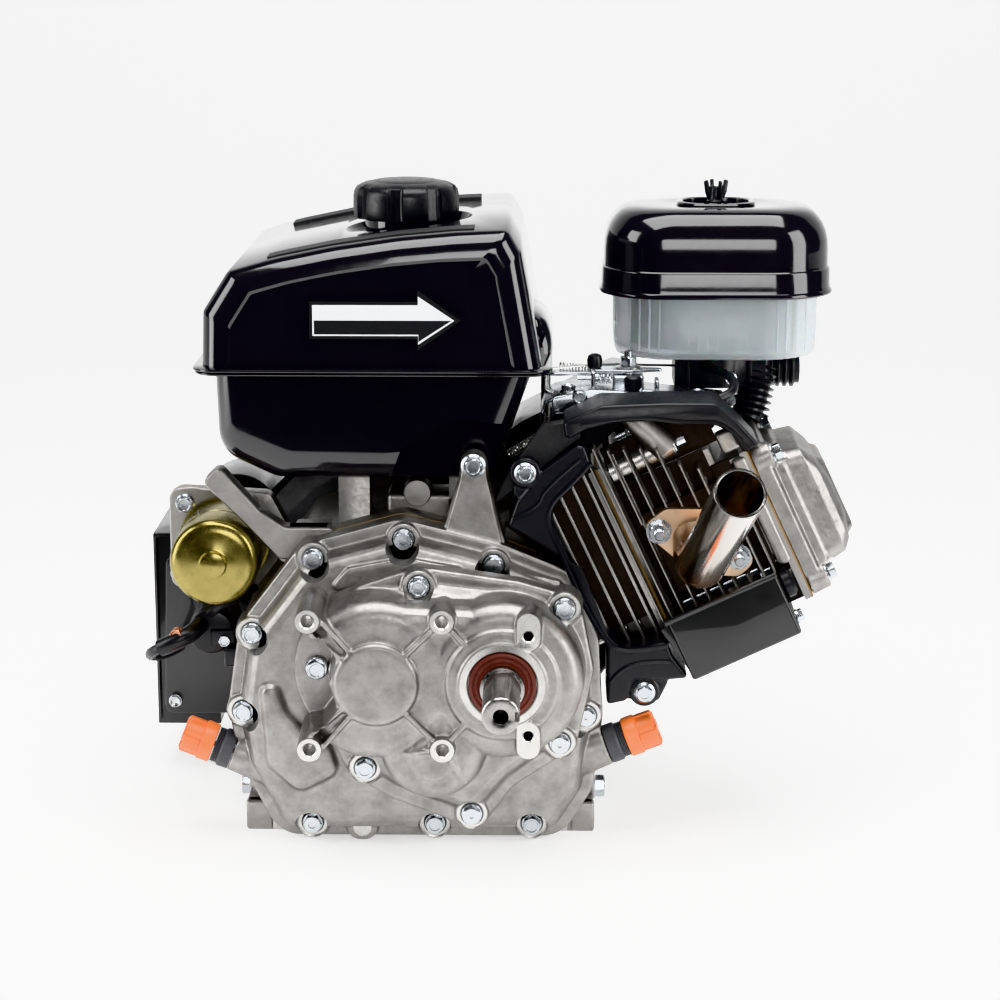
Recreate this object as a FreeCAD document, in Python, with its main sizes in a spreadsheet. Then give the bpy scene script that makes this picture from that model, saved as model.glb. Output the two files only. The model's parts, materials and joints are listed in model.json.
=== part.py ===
import FreeCAD, Part
import math
import os
import re
import Sketcher
from FreeCAD import Placement, Rotation, Vector

# Small horizontal-shaft petrol engine with a two-to-one chain reduction case.
# Millimetres.  +X to the cylinder side, -Y out of the reduction shaft, +Z up.
# The origin is the middle of the base bolt pattern, in the plane of the feet.

DIMENSIONS = {
    # crank line and reduction
    "crank_x": -26.0,
    "crank_z": 137.5,
    "chain_pitch": 8.0,
    "drive_teeth": 16.0,
    "driven_teeth": 32.0,
    "shaft_spacing": 85.57,
    "shaft_radius": 12.7,
    "journal_radius": 17.45,
    "bearing_bore": 17.5,
    "bearing_radius": 36.0,
    "bearing_width": 17.0,
    # cylinder
    "cylinder_tilt": 25.2,
    "bore_offset": -10.0,
    "bore_radius": 44.0,
    "piston_radius": 43.95,
    "crank_throw": 32.0,
    "pin_height": 88.0,
    "deck_height": 188.0,
    "fin_pitch": 10.3,
    "fin_thickness": 2.0,
    # valve gear
    "cam_offset": 72.0,
    "cam_journal": 9.0,
    "valve_spacing": 38.0,
    "pushrod_spacing": 30.0,
    "gear_module": 2.0,
    "crank_gear_teeth": 24.0,
    "cam_gear_teeth": 48.0,
    # case planes along the crank line
    "case_front": -60.0,
    "case_back": 72.0,
    "case_wall": 8.0,
    "gasket_thickness": 0.8,
    "cover_flange": -80.0,
    "cover_front": -100.0,
    "gear_flange": -116.0,
    "gear_front": -150.0,
    "boss_front": -157.0,
    "shaft_end": -220.0,
    # base and face mounts
    "base_spacing_x": 195.0,
    "base_spacing_y": 101.5,
    "base_hole_radius": 5.5,
    "foot_height": 22.0,
    "face_spacing": 90.0,
    "face_hole_radius": 4.25,
    # fasteners
    "bolt_radius": 4.0,
    "bolt_hole_radius": 4.4,
    "flange_radius": 8.5,
    "flange_thickness": 1.6,
    "hex_radius": 7.2,
    "hex_height": 6.0,
    # fuel tank
    "tank_front": -86.0,
    "tank_back": 162.0,
    "tank_seam": 338.5,
    "tank_sheet": 2.0,
    "filler_x": -11.5,
    "filler_y": 16.0,
    "filler_radius": 27.0,
    "cap_radius": 38.0,
    # air cleaner
    "cleaner_x": 210.5,
    "cleaner_y": 58.0,
    # exhaust
    "pipe_radius": 17.0,
    "pipe_wall": 1.5,
    # cooling
    "fan_cover_radius": 123.0,
    "flywheel_radius": 100.0,
    "ring_gear_radius": 117.0,
    # electric starter
    "starter_x": -144.0,
    "starter_z": 200.0,
    "starter_radius": 30.0,
}

X = Vector(1, 0, 0)
Y = Vector(0, 1, 0)
Z = Vector(0, 0, 1)

doc = FreeCAD.newDocument("engine")
sheet = doc.addObject("Spreadsheet::Sheet", "Dimensions")
for row, (alias, value) in enumerate(DIMENSIONS.items(), 1):
    sheet.set(f"A{row}", alias)
    sheet.set(f"B{row}", str(value))
    sheet.setAlias(f"B{row}", alias)
doc.recompute()

WORD = re.compile(r"[a-z]+(?:_[a-z]+)+")
NODES = []


# ---------------------------------------------------------------- helpers

def dim(alias):
    return float(sheet.get(alias))


def bind(thing, name, value):
    """Give a property a plain number, or bind it to the sheet when the value is text."""
    if isinstance(value, str):
        thing.setExpression(name, WORD.sub(lambda word: "Dimensions." + word.group(), value))
    elif name.startswith("."):
        thing.setExpression(name, str(value))
    else:
        setattr(thing, name, value)


def place(thing, at, turn=None):
    numbers = [part if not isinstance(part, str) else 0.0 for part in at]
    thing.Placement = Placement(Vector(*numbers), turn or Rotation())
    for letter, part in zip("xyz", at):
        if isinstance(part, str):
            bind(thing, ".Placement.Base." + letter, part)
    return thing


def cylinder(name, radius, height, at, along=Y):
    thing = doc.addObject("Part::Cylinder", name)
    bind(thing, "Radius", radius)
    bind(thing, "Height", height)
    return place(thing, at, Rotation(Z, along))


def cone(name, radius, end_radius, height, at, along=Y):
    thing = doc.addObject("Part::Cone", name)
    bind(thing, "Radius1", radius)
    bind(thing, "Radius2", end_radius)
    bind(thing, "Height", height)
    return place(thing, at, Rotation(Z, along))


def box(name, size, at, turn=None):
    thing = doc.addObject("Part::Box", name)
    for side, value in zip(("Length", "Width", "Height"), size):
        bind(thing, side, value)
    return place(thing, at, turn)


def fuse(name, *things):
    whole = doc.addObject("Part::MultiFuse", name)
    whole.Shapes = list(things)
    return whole


def holder(name, thing):
    """A turned copy's own frame: one piece held so that it can be placed again."""
    frame = doc.addObject("Part::Compound", name)
    frame.Links = [thing]
    return frame


def cut(name, base, *tools):
    rest = doc.addObject("Part::Cut", name)
    rest.Base = base
    rest.Tool = tools[0] if len(tools) == 1 else fuse(name + "_tools", *tools)
    return rest


def ring(name, outer, inner, height, at, along=Y):
    """A round bush: one cylinder with a smaller one cut through it."""
    outside = cylinder(name + "_outside", outer, height, at, along)
    inside = cylinder(name + "_inside", inner, height, at, along)
    return cut(name, outside, inside)


def outline(points, radius=0.0):
    """A closed outline of straight edges with corners rounded by tangent arcs."""
    corners = []
    for index, point in enumerate(points):
        here = Vector(point[0], point[1], 0)
        before = Vector(*points[index - 1][:2], 0) - here
        after = Vector(*points[(index + 1) % len(points)][:2], 0) - here
        size = point[2] if len(point) > 2 else radius
        half = before.getAngle(after) / 2
        reach = min(size / math.tan(half), 0.49 * before.Length, 0.49 * after.Length)
        if reach < 0.01:
            corners.append((here, None, here))
            continue
        size = reach * math.tan(half)
        before.normalize()
        after.normalize()
        start = here + before * reach
        end = here + after * reach
        inward = (before + after).normalize()
        corners.append((start, here + inward * (size / math.sin(half) - size), end))
    edges = []
    for index, (start, middle, end) in enumerate(corners):
        if middle is not None:
            edges.append(Part.Arc(start, middle, end))
        following = corners[(index + 1) % len(corners)][0]
        if (following - end).Length > 1e-6:
            edges.append(Part.LineSegment(end, following))
    return edges


def inset(points, distance):
    """The same outline with every edge moved inwards, as the inside of a wall."""
    area = sum(a[0] * b[1] - b[0] * a[1] for a, b in zip(points, points[1:] + points[:1]))
    side = 1.0 if area > 0 else -1.0
    moved = []
    for index, point in enumerate(points):
        before = Vector(*point[:2], 0) - Vector(*points[index - 1][:2], 0)
        after = Vector(*points[(index + 1) % len(points)][:2], 0) - Vector(*point[:2], 0)
        before.normalize()
        after.normalize()
        normal = Vector(-before.y - after.y, before.x + after.x, 0) * side
        scale = 2 * distance / normal.dot(normal)
        moved.append((point[0] + normal.x * scale, point[1] + normal.y * scale))
    return moved


def disc(across, up, radius):
    return [Part.Circle(Vector(across, up, 0), Z, radius)]


def prism(name, loops, front, back):
    """An outline in the X-Z plane, extruded along +Y from front to back."""
    sketch = doc.addObject("Sketcher::SketchObject", name + "_outline")
    for loop in loops:
        for edge in loop:
            sketch.addGeometry(edge, False)
    place(sketch, (0, front, 0), Rotation(X, 90))
    pad = doc.addObject("Part::Extrusion", name)
    pad.Base = sketch
    pad.DirMode = "Normal"
    pad.Reversed = True
    pad.Solid = True
    pad.FaceMakerClass = "Part::FaceMakerBullseye"
    bind(pad, "LengthFwd", f"({back}) - ({front})")
    return pad


def slab(name, loops, bottom, top):
    """An outline in the X-Y plane, extruded upwards."""
    sketch = doc.addObject("Sketcher::SketchObject", name + "_outline")
    for loop in loops:
        for edge in loop:
            sketch.addGeometry(edge, False)
    place(sketch, (0, 0, bottom))
    pad = doc.addObject("Part::Extrusion", name)
    pad.Base = sketch
    pad.DirMode = "Normal"
    pad.Solid = True
    pad.FaceMakerClass = "Part::FaceMakerBullseye"
    bind(pad, "LengthFwd", f"({top}) - ({bottom})")
    return pad


def rectangle(left, bottom, right, top, radius=0.0):
    return outline([(left, bottom), (right, bottom), (right, top), (left, top)], radius)


def node(thing):
    """Name a finished sub-part for the hand-in."""
    NODES.append(thing)
    return thing


def group(name, master, places):
    """Identical pieces as one node of separate solids, copied from one finished master."""
    doc.recompute()
    copies = doc.addObject("Part::Feature", name)
    shape = master.Shape.copy()
    shape.Placement = Placement()
    copies.Shape = Part.makeCompound([shape.transformed(p.toMatrix()) for p in places])
    return copies


# PartDesign bodies: turned and toothed pieces have their own axis along local Z.

def new_body(name):
    return doc.addObject("PartDesign::Body", name)


def body_plane(body, role):
    return [feature for feature in body.Origin.OriginFeatures if feature.Role == role][0]


def body_sketch(body, name, role, lift=0.0):
    sketch = body.newObject("Sketcher::SketchObject", name)
    sketch.AttachmentSupport = [(body_plane(body, role), "")]
    sketch.MapMode = "FlatFace"
    sketch.AttachmentOffset = Placement(Vector(0, 0, lift), Rotation())
    return sketch


def sketch_circle(sketch, radius, across=None):
    """A circle centred on the sketch origin, or on its first axis at a bound distance."""
    circle = sketch.addGeometry(Part.Circle(Vector(1, 0, 0), Z, 10), False)
    constraint = sketch.addConstraint(Sketcher.Constraint("Radius", circle, 10))
    bind(sketch, f"Constraints[{constraint}]", str(radius))
    if across is None:
        sketch.addConstraint(Sketcher.Constraint("Coincident", circle, 3, -1, 1))
        return
    sketch.addConstraint(Sketcher.Constraint("PointOnObject", circle, 3, -1))
    index = sketch.addConstraint(Sketcher.Constraint("DistanceX", -1, 1, circle, 3, 20))
    bind(sketch, f"Constraints[{index}]", str(across))


def pad(body, name, sketch, length, down=False):
    feature = body.newObject("PartDesign::Pad", name)
    feature.Profile = sketch
    bind(feature, "Length", length)
    feature.Reversed = down
    return feature


def round_pad(body, name, radius, length, lift=0.0):
    sketch = body_sketch(body, name + "_circle", "XY_Plane", lift)
    sketch_circle(sketch, radius)
    return pad(body, name, sketch, length)


def pocket(body, name, sketch):
    """A pocket that cuts both ways from its sketch through everything."""
    feature = body.newObject("PartDesign::Pocket", name)
    feature.Profile = sketch
    feature.Type = "ThroughAll"
    feature.Midplane = True
    return feature


def round_hole(body, name, radius, across=None):
    sketch = body_sketch(body, name + "_circle", "XY_Plane")
    sketch_circle(sketch, radius, across)
    return pocket(body, name, sketch)


def repeat_round(body, name, feature, count):
    doc.recompute()
    pattern = body.newObject("PartDesign::PolarPattern", name)
    pattern.Originals = [feature]
    pattern.Axis = (body_plane(body, "Z_Axis"), [""])
    pattern.Angle = 360
    bind(pattern, "Occurrences", count)
    body.Tip = pattern
    return pattern


def turned(name, profile):
    """A body of revolution about local Z from (radius, height) points."""
    body = new_body(name)
    sketch = body_sketch(body, name + "_profile", "XZ_Plane")
    for edge in outline(profile):
        sketch.addGeometry(edge, False)
    revolution = body.newObject("PartDesign::Revolution", name + "_turning")
    revolution.Profile = sketch
    revolution.ReferenceAxis = (sketch, ["V_Axis"])
    revolution.Angle = 360
    return body


ALONG_Y = Rotation(Z, Y)
OUT_OF_FRONT = Rotation(Z, Y * -1)


# ---------------------------------------------------------------- reference frames

TILT = math.radians(dim("cylinder_tilt"))
CRANK = Vector(dim("crank_x"), 0, dim("crank_z"))
BORE_WAY = Vector(math.cos(TILT), 0, math.sin(TILT))
BORE_SIDE = Vector(-math.sin(TILT), 0, math.cos(TILT))
CYLINDER_TURN = Rotation(Y, -dim("cylinder_tilt"))
PTO_X = dim("crank_x") + dim("shaft_spacing")


def in_cylinder(along, side, deep=0.0):
    """A point given along the bore, across it and along the crank line."""
    return CRANK + BORE_WAY * along + BORE_SIDE * side + Vector(0, deep, 0)


def on_cylinder(thing):
    """Stand a piece, drawn with X along the bore and Z across it, on the crank line."""
    return place(thing, ("crank_x", 0, "crank_z"), CYLINDER_TURN)


# ---------------------------------------------------------------- crankcase

CASE = [(-100, 3), (-128, 58), (-135, 98), (-126, 158), (-82, 216), (-12, 235),
        (58, 217), (110, 196), (126, 150), (129, 92), (122, 38), (100, 3)]
COVER_BOLTS = [(-116.6, 153), (-124, 96.3), (-72.9, 207), (-10.1, 221), (52.2, 203),
               (117, 94), (-76.2, 14), (10.7, 14), (79.2, 14)]
GEAR_BOLTS = [(2, 197), (101.4, 182), (98.6, 86), (37.8, 34), (-35.9, 67), (-68.4, 139)]
GEAR_FLANGE = [(-78, 128), (-72, 172), (-40, 196), (2, 210), (70, 200), (112, 188), (122, 137),
               (110, 82), (66, 52), (46, 24), (26, 26), (-20, 44), (-48, 62)]
ROCKER_BOLTS = [(8.5, -46), (8.5, 46), (-86.5, -46), (-86.5, 46)]
HEAD_BOLTS = [(side, deep) for side in (-64, 44) for deep in (-44, 44)]
SHROUD_SCREWS = [(74, 268), (156, 111)]
STARTER_SCREWS = [(-172.5, 226.5), (-172.5, 173.5)]
EXHAUST_STUD_PLACES = [(211.8, -2.9), (254.4, -42.9)]
EXHAUST_STUDS = [in_cylinder(along, side) for along, side in EXHAUST_STUD_PLACES]


def case_barrel():
    """The finned cylinder, its deck and its pushrod tunnel, drawn on the bore."""
    pieces = [cylinder("barrel_sleeve", "bore_radius + 6", "deck_height - 66", (66, 0, "bore_offset"), X)]
    for index in range(4):
        along = f"deck_height - 7.5 - {index} * fin_pitch - fin_thickness"
        pieces.append(box(f"barrel_fin_{index}", ("fin_thickness", 116, 132), (along, -58, -76)))
    pieces.append(box("deck", (5, 116, 136), ("deck_height - 5", -58, -84)))
    pieces.append(box("pushrod_tunnel", (48, 52, 26), ("deck_height - 48", -26, -85)))
    return on_cylinder(fuse("barrel", *pieces))


def case_barrel_holes():
    holes = [cylinder("bore_hole", "bore_radius", 130, (60, 0, "bore_offset"), X),
             box("tunnel_hole", (150, 44, 18), (40, -22, -81))]
    for index, (side, deep) in enumerate(HEAD_BOLTS):
        holes.append(cylinder(f"stud_hole_{index}", "bolt_radius + 1", 40,
                              ("deck_height - 30", deep, side), X))
    return on_cylinder(fuse("barrel_holes", *holes))


def crankcase():
    block = prism("case_block", [outline(CASE, 24)], "case_front", "case_back")
    feet = [box(f"foot_{side}", (64, 131, "foot_height"), (left, "case_front", 0))
            for side, left in (("left", -125), ("right", 59))]
    arm = prism("tank_arm", [outline([(-152, 256), (-140, 268), (-112, 236), (-94, 224), (-60, 224),
                                      (-62, 200), (-96, 198), (-128, 232)], 5)], -59, -47)
    posts = [box(f"tank_post_{name}", (22, 30, 44), (left, -40, 214))
             for name, left in (("left", -58), ("right", 20))]
    starter_lug = prism("starter_lug", [outline([(-184, 166), (-184, 236), (-112, 232), (-90, 190),
                                                 (-106, 150), (-136, 160)], 8)], 8, 24)
    hollow = prism("case_hollow", [outline(inset(CASE, dim("case_wall")), 18)], -66, "case_back - 12")
    shell = cut("case_shell", fuse("case_outside", block, *feet, arm, *posts, starter_lug), hollow)
    bearing_boss = cylinder("main_boss", "bearing_radius + 9", 30, ("crank_x", "case_back - 26", "crank_z"))
    cam = in_cylinder(0, -dim("cam_offset"))
    cam_boss = cylinder("cam_boss", 16, 20, (cam.x, "case_back - 26", cam.z))
    whole = fuse("case_whole", shell, bearing_boss, cam_boss, case_barrel())
    holes = [
        cylinder("main_bearing_seat", "bearing_radius", 60, ("crank_x", "case_back - 28", "crank_z")),
        cylinder("cam_seat", "cam_journal + 0.05", 16, (cam.x, "case_back - 28", cam.z)),
        cylinder("starter_hole", 22, 40, ("starter_x", 0, "starter_z")),
        case_barrel_holes(),
    ]
    for index, (across, up) in enumerate(STARTER_SCREWS):
        holes.append(cylinder(f"starter_screw_hole_{index}", 3.2, 20, (across, 6, up)))
    for index, (across, up) in enumerate(COVER_BOLTS):
        holes.append(cylinder(f"cover_bolt_hole_{index}", "bolt_radius", 22,
                              (across, "case_front - 1", up)))
    for side in (-1, 1):
        for end in (-1, 1):
            holes.append(cylinder(f"base_hole_{side + 1}{end + 1}", "base_hole_radius", 40,
                                  (f"{side} * base_spacing_x / 2", f"{end} * base_spacing_y / 2", -1), Z))
        holes.append(cylinder(f"drain_hole_{side + 1}", 5, 40, (side * 98, -8, 16), X * side))
    return node(cut("crankcase", whole, *holes))


def cover_gasket():
    ringed = [outline(CASE, 24), outline(inset(CASE, 14), 14)]
    sheet_ring = prism("cover_gasket_sheet", ringed, "case_front - gasket_thickness", "case_front")
    holes = [cylinder(f"cover_gasket_hole_{k}", 4.6, 8, (across, -64, up))
             for k, (across, up) in enumerate(COVER_BOLTS)]
    return cut("cover_gasket", sheet_ring, *holes)


def crankcase_cover():
    back = "case_front - gasket_thickness"
    flange = prism("cover_rim", [outline(CASE, 24)], "cover_flange", back)
    raised = prism("cover_face", [outline(inset(CASE, 14), 24)], "cover_front", "cover_flange")
    lug = prism("cover_lug", [outline([(8, 206), (30, 270), (38, 284), (47, 270), (66, 206)], 8)],
                -74, back)
    tongue = prism("cover_tongue", [outline([(-56, 30), (-49, 1), (-32, 1), (-26, 30)], 8)], -84, -72)
    pads = [cylinder(f"cover_pad_{index}", 11, 16, (across, "cover_flange - 2", up))
            for index, (across, up) in enumerate(COVER_BOLTS)]
    necks = [cylinder(f"neck_boss_{name}", 12, 22, (across, -73.5, up), way)
             for name, across, up, way in (("left", -112, 56, Vector(-0.93, 0, 0.36)),
                                           ("right", 112, 62, Vector(0.93, 0, 0.36)))]
    solid = fuse("cover_outside", flange, raised, lug, tongue, *pads, *necks)
    rear_hollow = prism("cover_rear_hollow", [outline(inset(CASE, 14), 14)], -76, "case_front + 1")
    front_hollow = prism("cover_front_hollow", [outline(inset(CASE, 22), 16)], "cover_front + 7", -75)
    shell = cut("cover_shell", solid, rear_hollow, front_hollow)
    cam = in_cylinder(0, -dim("cam_offset"))
    bosses = [
        cylinder("cover_main_boss", "bearing_radius + 8", 22, ("crank_x", "cover_front + 2", "crank_z")),
        cylinder("cover_cam_boss", 16, 20, (cam.x, "cover_front + 2", cam.z)),
        cylinder("cover_pto_boss", 34, 20, ("crank_x + shaft_spacing", "cover_front + 2", "crank_z")),
    ]
    for index, (across, up) in enumerate(GEAR_BOLTS):
        bosses.append(cylinder(f"cover_gear_boss_{index}", 10, 14, (across, "cover_front", up)))
    whole = fuse("cover_whole", shell, *bosses)
    holes = [
        cylinder("cover_bearing_seat", "bearing_radius", 30, ("crank_x", "cover_front + 6", "crank_z")),
        cylinder("cover_shaft_hole", 23, 40, ("crank_x", "cover_front - 1", "crank_z")),
        cylinder("cover_cam_seat", "cam_journal + 0.05", 20, (cam.x, "cover_front + 8", cam.z)),
        cylinder("cover_pto_seat", 26, 16, ("crank_x + shaft_spacing", "cover_front - 1", "crank_z")),
        cylinder("lug_hole", "bolt_hole_radius", 40, (38, -90, 271)),
        cylinder("neck_hole_left", 9, 40, (-100, -73.5, 51.4), Vector(-0.93, 0, 0.36)),
        cylinder("neck_hole_right", 9, 40, (100, -73.5, 57.4), Vector(0.93, 0, 0.36)),
        cylinder("neck_space_left", 12.1, 30, (-132.4, -73.5, 63.98), Vector(-0.93, 0, 0.36)),
        cylinder("neck_space_right", 12.1, 30, (132.4, -73.5, 69.98), Vector(0.93, 0, 0.36)),
    ]
    for index, (across, up) in enumerate(COVER_BOLTS):
        holes.append(cylinder(f"rim_hole_{index}", "bolt_hole_radius", 50, (across, -100, up)))
        holes.append(cylinder(f"rim_relief_{index}", 10.5, 20, (across, "cover_flange - 22", up)))
    for index, (across, up) in enumerate(GEAR_BOLTS):
        holes.append(cylinder(f"gear_hole_{index}", "bolt_radius", 12, (across, "cover_front - 1", up)))
    return node(cut("crankcase_cover", whole, *holes))


def gear_case_lobes(name, shrink, front, back):
    """The two shaft lobes, the lower lobe and the web between them, as one solid."""
    crank_x = dim("crank_x")
    crank_z = dim("crank_z")
    length = f"({back}) - ({front})"
    lobes = [cone(f"{name}_crank_lobe", 56 - shrink, 60 - shrink, length, ("crank_x", front, "crank_z")),
             cone(f"{name}_shaft_lobe", 52 - shrink, 56 - shrink, length,
                  ("crank_x + shaft_spacing", front, "crank_z")),
             cone(f"{name}_lower_lobe", 34 - shrink, 40 - shrink, length, (10, front, 86))]
    web = [(crank_x, crank_z - 48), (PTO_X, crank_z - 48), (PTO_X, crank_z + 50), (crank_x, crank_z + 54)]
    lobes.append(prism(f"{name}_web", [outline(inset(web, shrink))], front, back))
    return fuse(name, *lobes)


def gear_case_ribs():
    """Thin webs from the blind boss out to the four threaded columns."""
    ribs = []
    for index, angle in enumerate((45, 135, 225, 315)):
        rib = box(f"case_rib_{index}", (44, 44, 5), (0, 0, -2.5))
        turned_rib = holder(f"case_rib_turned_{index}", rib)
        ribs.append(place(turned_rib, ("crank_x", "boss_front + 3", "crank_z"), Rotation(Y, angle)))
    return ribs


def gear_case():
    flange = prism("gear_case_rim", [outline(GEAR_FLANGE, 12)], "gear_flange", "cover_front")
    body = gear_case_lobes("gear_case_body", 0, "gear_front", "cover_front")
    blind_boss = cylinder("blind_boss", 28, 24, ("crank_x", "gear_front - 3", "crank_z"))
    seal_boss = cylinder("seal_boss", 29, 12, ("crank_x + shaft_spacing", "gear_front - 3", "crank_z"))
    columns = []
    for side in (-1, 1):
        for rise in (-1, 1):
            columns.append(cylinder(f"column_{side + 1}{rise + 1}", 8.5, "cover_front - boss_front",
                                    (f"crank_x + {side} * face_spacing / 2", "boss_front",
                                     f"crank_z + {rise} * face_spacing / 2")))
    lugs = [cylinder(f"shaft_lug_{rise + 1}", 9, 20, (77, "gear_front - 5", f"crank_z + {rise} * 35"))
            for rise in (-1, 1)]
    pads = [cylinder(f"gear_pad_{index}", 11, 18, (across, "gear_flange - 2", up))
            for index, (across, up) in enumerate(GEAR_BOLTS)]
    outside = fuse("gear_case_outside", flange, body, blind_boss, seal_boss, *columns, *lugs, *pads,
                   *gear_case_ribs())
    hollow = gear_case_lobes("gear_case_hollow", 8, "gear_front + 7", "cover_front + 1")
    shell = cut("gear_case_shell", outside, hollow)
    inner = [cylinder("blind_boss_inner", 26, 16, ("crank_x", "gear_front + 2", "crank_z")),
             cylinder("seal_boss_inner", 32, 16, ("crank_x + shaft_spacing", "gear_front + 2", "crank_z"))]
    holes = [
        cylinder("nose_bearing_seat", 21, 30, ("crank_x", "gear_front + 3", "crank_z")),
        cylinder("pto_bearing_seat", 26, 30, ("crank_x + shaft_spacing", "gear_front + 3", "crank_z")),
        cylinder("seal_seat", 23.3, 20, ("crank_x + shaft_spacing", "gear_front - 4", "crank_z")),
    ]
    for side in (-1, 1):
        for rise in (-1, 1):
            holes.append(cylinder(f"face_hole_{side + 1}{rise + 1}", "face_hole_radius", 26,
                                  (f"crank_x + {side} * face_spacing / 2", "boss_front - 1",
                                   f"crank_z + {rise} * face_spacing / 2")))
    for rise in (-1, 1):
        holes.append(cylinder(f"lug_hole_{rise + 1}", 3.4, 16,
                              (77, "gear_front - 6", f"crank_z + {rise} * 35")))
    for index, (across, up) in enumerate(GEAR_BOLTS):
        holes.append(cylinder(f"gear_bolt_hole_{index}", "bolt_hole_radius", 40, (across, -130, up)))
        holes.append(cylinder(f"gear_relief_{index}", 10.5, 40, (across, "gear_flange - 42", up)))
    return node(cut("gear_case", fuse("gear_case_whole", shell, *inner), *holes))


# ---------------------------------------------------------------- fasteners

def flange_bolt(name, shank, scale=1.0):
    """Hexagon flange bolt: the seat is at local zero and the head points along +Z."""
    bolt = new_body(name)
    round_pad(bolt, name + "_flange", f"flange_radius * {scale}", f"flange_thickness * {scale}")
    sketch = body_sketch(bolt, name + "_hex", "XY_Plane")
    radius = dim("hex_radius") * scale
    corners = [(radius * math.cos(math.radians(60 * k)), radius * math.sin(math.radians(60 * k)))
               for k in range(6)]
    for edge in outline(corners):
        sketch.addGeometry(edge, False)
    pad(bolt, name + "_head", sketch, f"(flange_thickness + hex_height) * {scale}")
    sketch = body_sketch(bolt, name + "_shank_circle", "XY_Plane")
    sketch_circle(sketch, f"bolt_radius * {scale}")
    pad(bolt, name + "_shank", sketch, shank, down=True)
    return bolt


def bolts(name, kinds):
    """Flange bolts as one node: kinds holds a shank, a scale and (point, outward) seats."""
    copies = []
    for number, (shank, scale, seats) in enumerate(kinds):
        master = flange_bolt(f"{name}_master_{number}", shank, scale)
        places = [Placement(point, Rotation(Z, way).multiply(Rotation(Z, 17.0 * index)))
                  for index, (point, way) in enumerate(seats)]
        copies.append(group(f"{name}_{number}", master, places))
    together = doc.addObject("Part::Compound", name)
    together.Links = copies
    return node(together)


def fasteners():
    """Three sizes of flange bolt: case bolts, the larger head and drain bolts, and small screws."""
    front = Y * -1
    case_seats = [(Vector(x, dim("cover_flange") - 2, z), front) for x, z in COVER_BOLTS]
    case_seats += [(Vector(x, dim("gear_flange") - 2, z), front) for x, z in GEAR_BOLTS]
    bolts("case_bolts", [(26, 1.0, case_seats)])
    head_seats = [(in_cylinder(262, side, deep), BORE_WAY) for side, deep in HEAD_BOLTS]
    drain_seats = [(Vector(-125, -8, 16), X * -1), (Vector(123, -8, 16), X)]
    bolts("large_bolts", [(88, 1.15, head_seats), (20, 1.15, drain_seats)])
    cover_seats = [(in_cylinder(305.3, z, y), BORE_WAY) for z, y in ROCKER_BOLTS]
    front_seats = [(Vector(x, -78.2, z), front) for x, z in SHROUD_SCREWS]
    front_seats += [(Vector(stud.x, -71.3, stud.z), front) for stud in EXHAUST_STUDS]
    front_seats += [(Vector(x, 0, z), front) for x, z in STARTER_SCREWS]
    bolts("small_screws", [(16, 0.78, cover_seats), (14, 0.78, front_seats)])


# ---------------------------------------------------------------- crank line

def bearing(name, bore, outer, width):
    """A sealed ball bearing drawn as one ring with recessed shields."""
    race = turned(name, [(bore, 0), (bore + 3, 0), (bore + 3, 0.6), (outer - 3, 0.6), (outer - 3, 0),
                         (outer, 0), (outer, width), (bore, width)])
    return race


def bearings():
    main = bearing("main_bearing_master", dim("bearing_bore"), dim("bearing_radius"), dim("bearing_width"))
    nose = bearing("nose_bearing_master", 10.0, 21.0, 12.0)
    doc.recompute()
    output = bearing("output_bearing_master", 12.5, 26.0, 14.0)
    doc.recompute()
    fitted = doc.addObject("Part::Feature", "ball_bearings")
    copies = []
    for master, across, y in ((main, CRANK.x, dim("cover_front") + 6.5),
                              (main, CRANK.x, dim("case_back") - 26),
                              (nose, CRANK.x, dim("gear_front") + 4),
                              (output, PTO_X, dim("gear_front") + 3.5),
                              (output, PTO_X, dim("cover_front"))):
        shape = master.Shape.copy()
        shape.Placement = Placement()
        copies.append(shape.transformed(Placement(Vector(across, y, CRANK.z), ALONG_Y).toMatrix()))
    fitted.Shape = Part.makeCompound(copies)
    node(fitted)
    seal = turned("output_seal", [(15.06, 0), (16, 0), (17.5, 1.6), (20, 1.6), (21, 0), (23.28, 0),
                                  (23.28, 6), (15.06, 6)])
    node(place(seal, ("crank_x + shaft_spacing", "gear_front - 3", "crank_z"), ALONG_Y))


def crank_web(name, y):
    """A disc counterweight, cut away beside the crankpin."""
    wheel = cylinder(name + "_disc", 52, 16, (0, y, 0))
    sides = [box(f"{name}_side_{k}", (50, 20, 40), (-54, y - 2, z)) for k, z in ((0, 18), (1, -58))]
    return cut(name, wheel, *sides)


def crankshaft():
    """Both halves of the shaft, with the crankpin at the end of its stroke away from the head."""
    webs = on_cylinder(fuse("crank_webs", crank_web("front_web", -29.4), crank_web("rear_web", 13.4)))
    line = ("crank_x", "crank_z")
    steps = [("crank_nose", 9.95, 17, -147), ("sprocket_seat", 14, 34, -130),
             ("front_journal", "journal_radius", 54, -96), ("gear_seat", 18.5, 22, -51),
             ("rear_journal", "journal_radius", 60, 29), ("flywheel_seat", 15, 28, 88),
             ("crank_thread", 8, 26, 116)]
    pieces = [cylinder(name, radius, length, (line[0], y, line[1])) for name, radius, length, y in steps]
    return node(fuse("crankshaft", webs, *pieces))


def gear_outline(teeth, module):
    """A spur gear with straight-flanked trapezoidal teeth, one centred on +X."""
    pitch = teeth * module / 2
    points = []
    for k in range(int(teeth)):
        middle = 2 * math.pi * k / teeth
        for radius, share in ((pitch - 1.2 * module, -0.36), (pitch, -0.235), (pitch + 0.9 * module, -0.11),
                              (pitch + 0.9 * module, 0.11), (pitch, 0.235), (pitch - 1.2 * module, 0.36)):
            angle = middle + 2 * math.pi * share / teeth
            points.append((radius * math.cos(angle), radius * math.sin(angle)))
    return outline(points)


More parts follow.
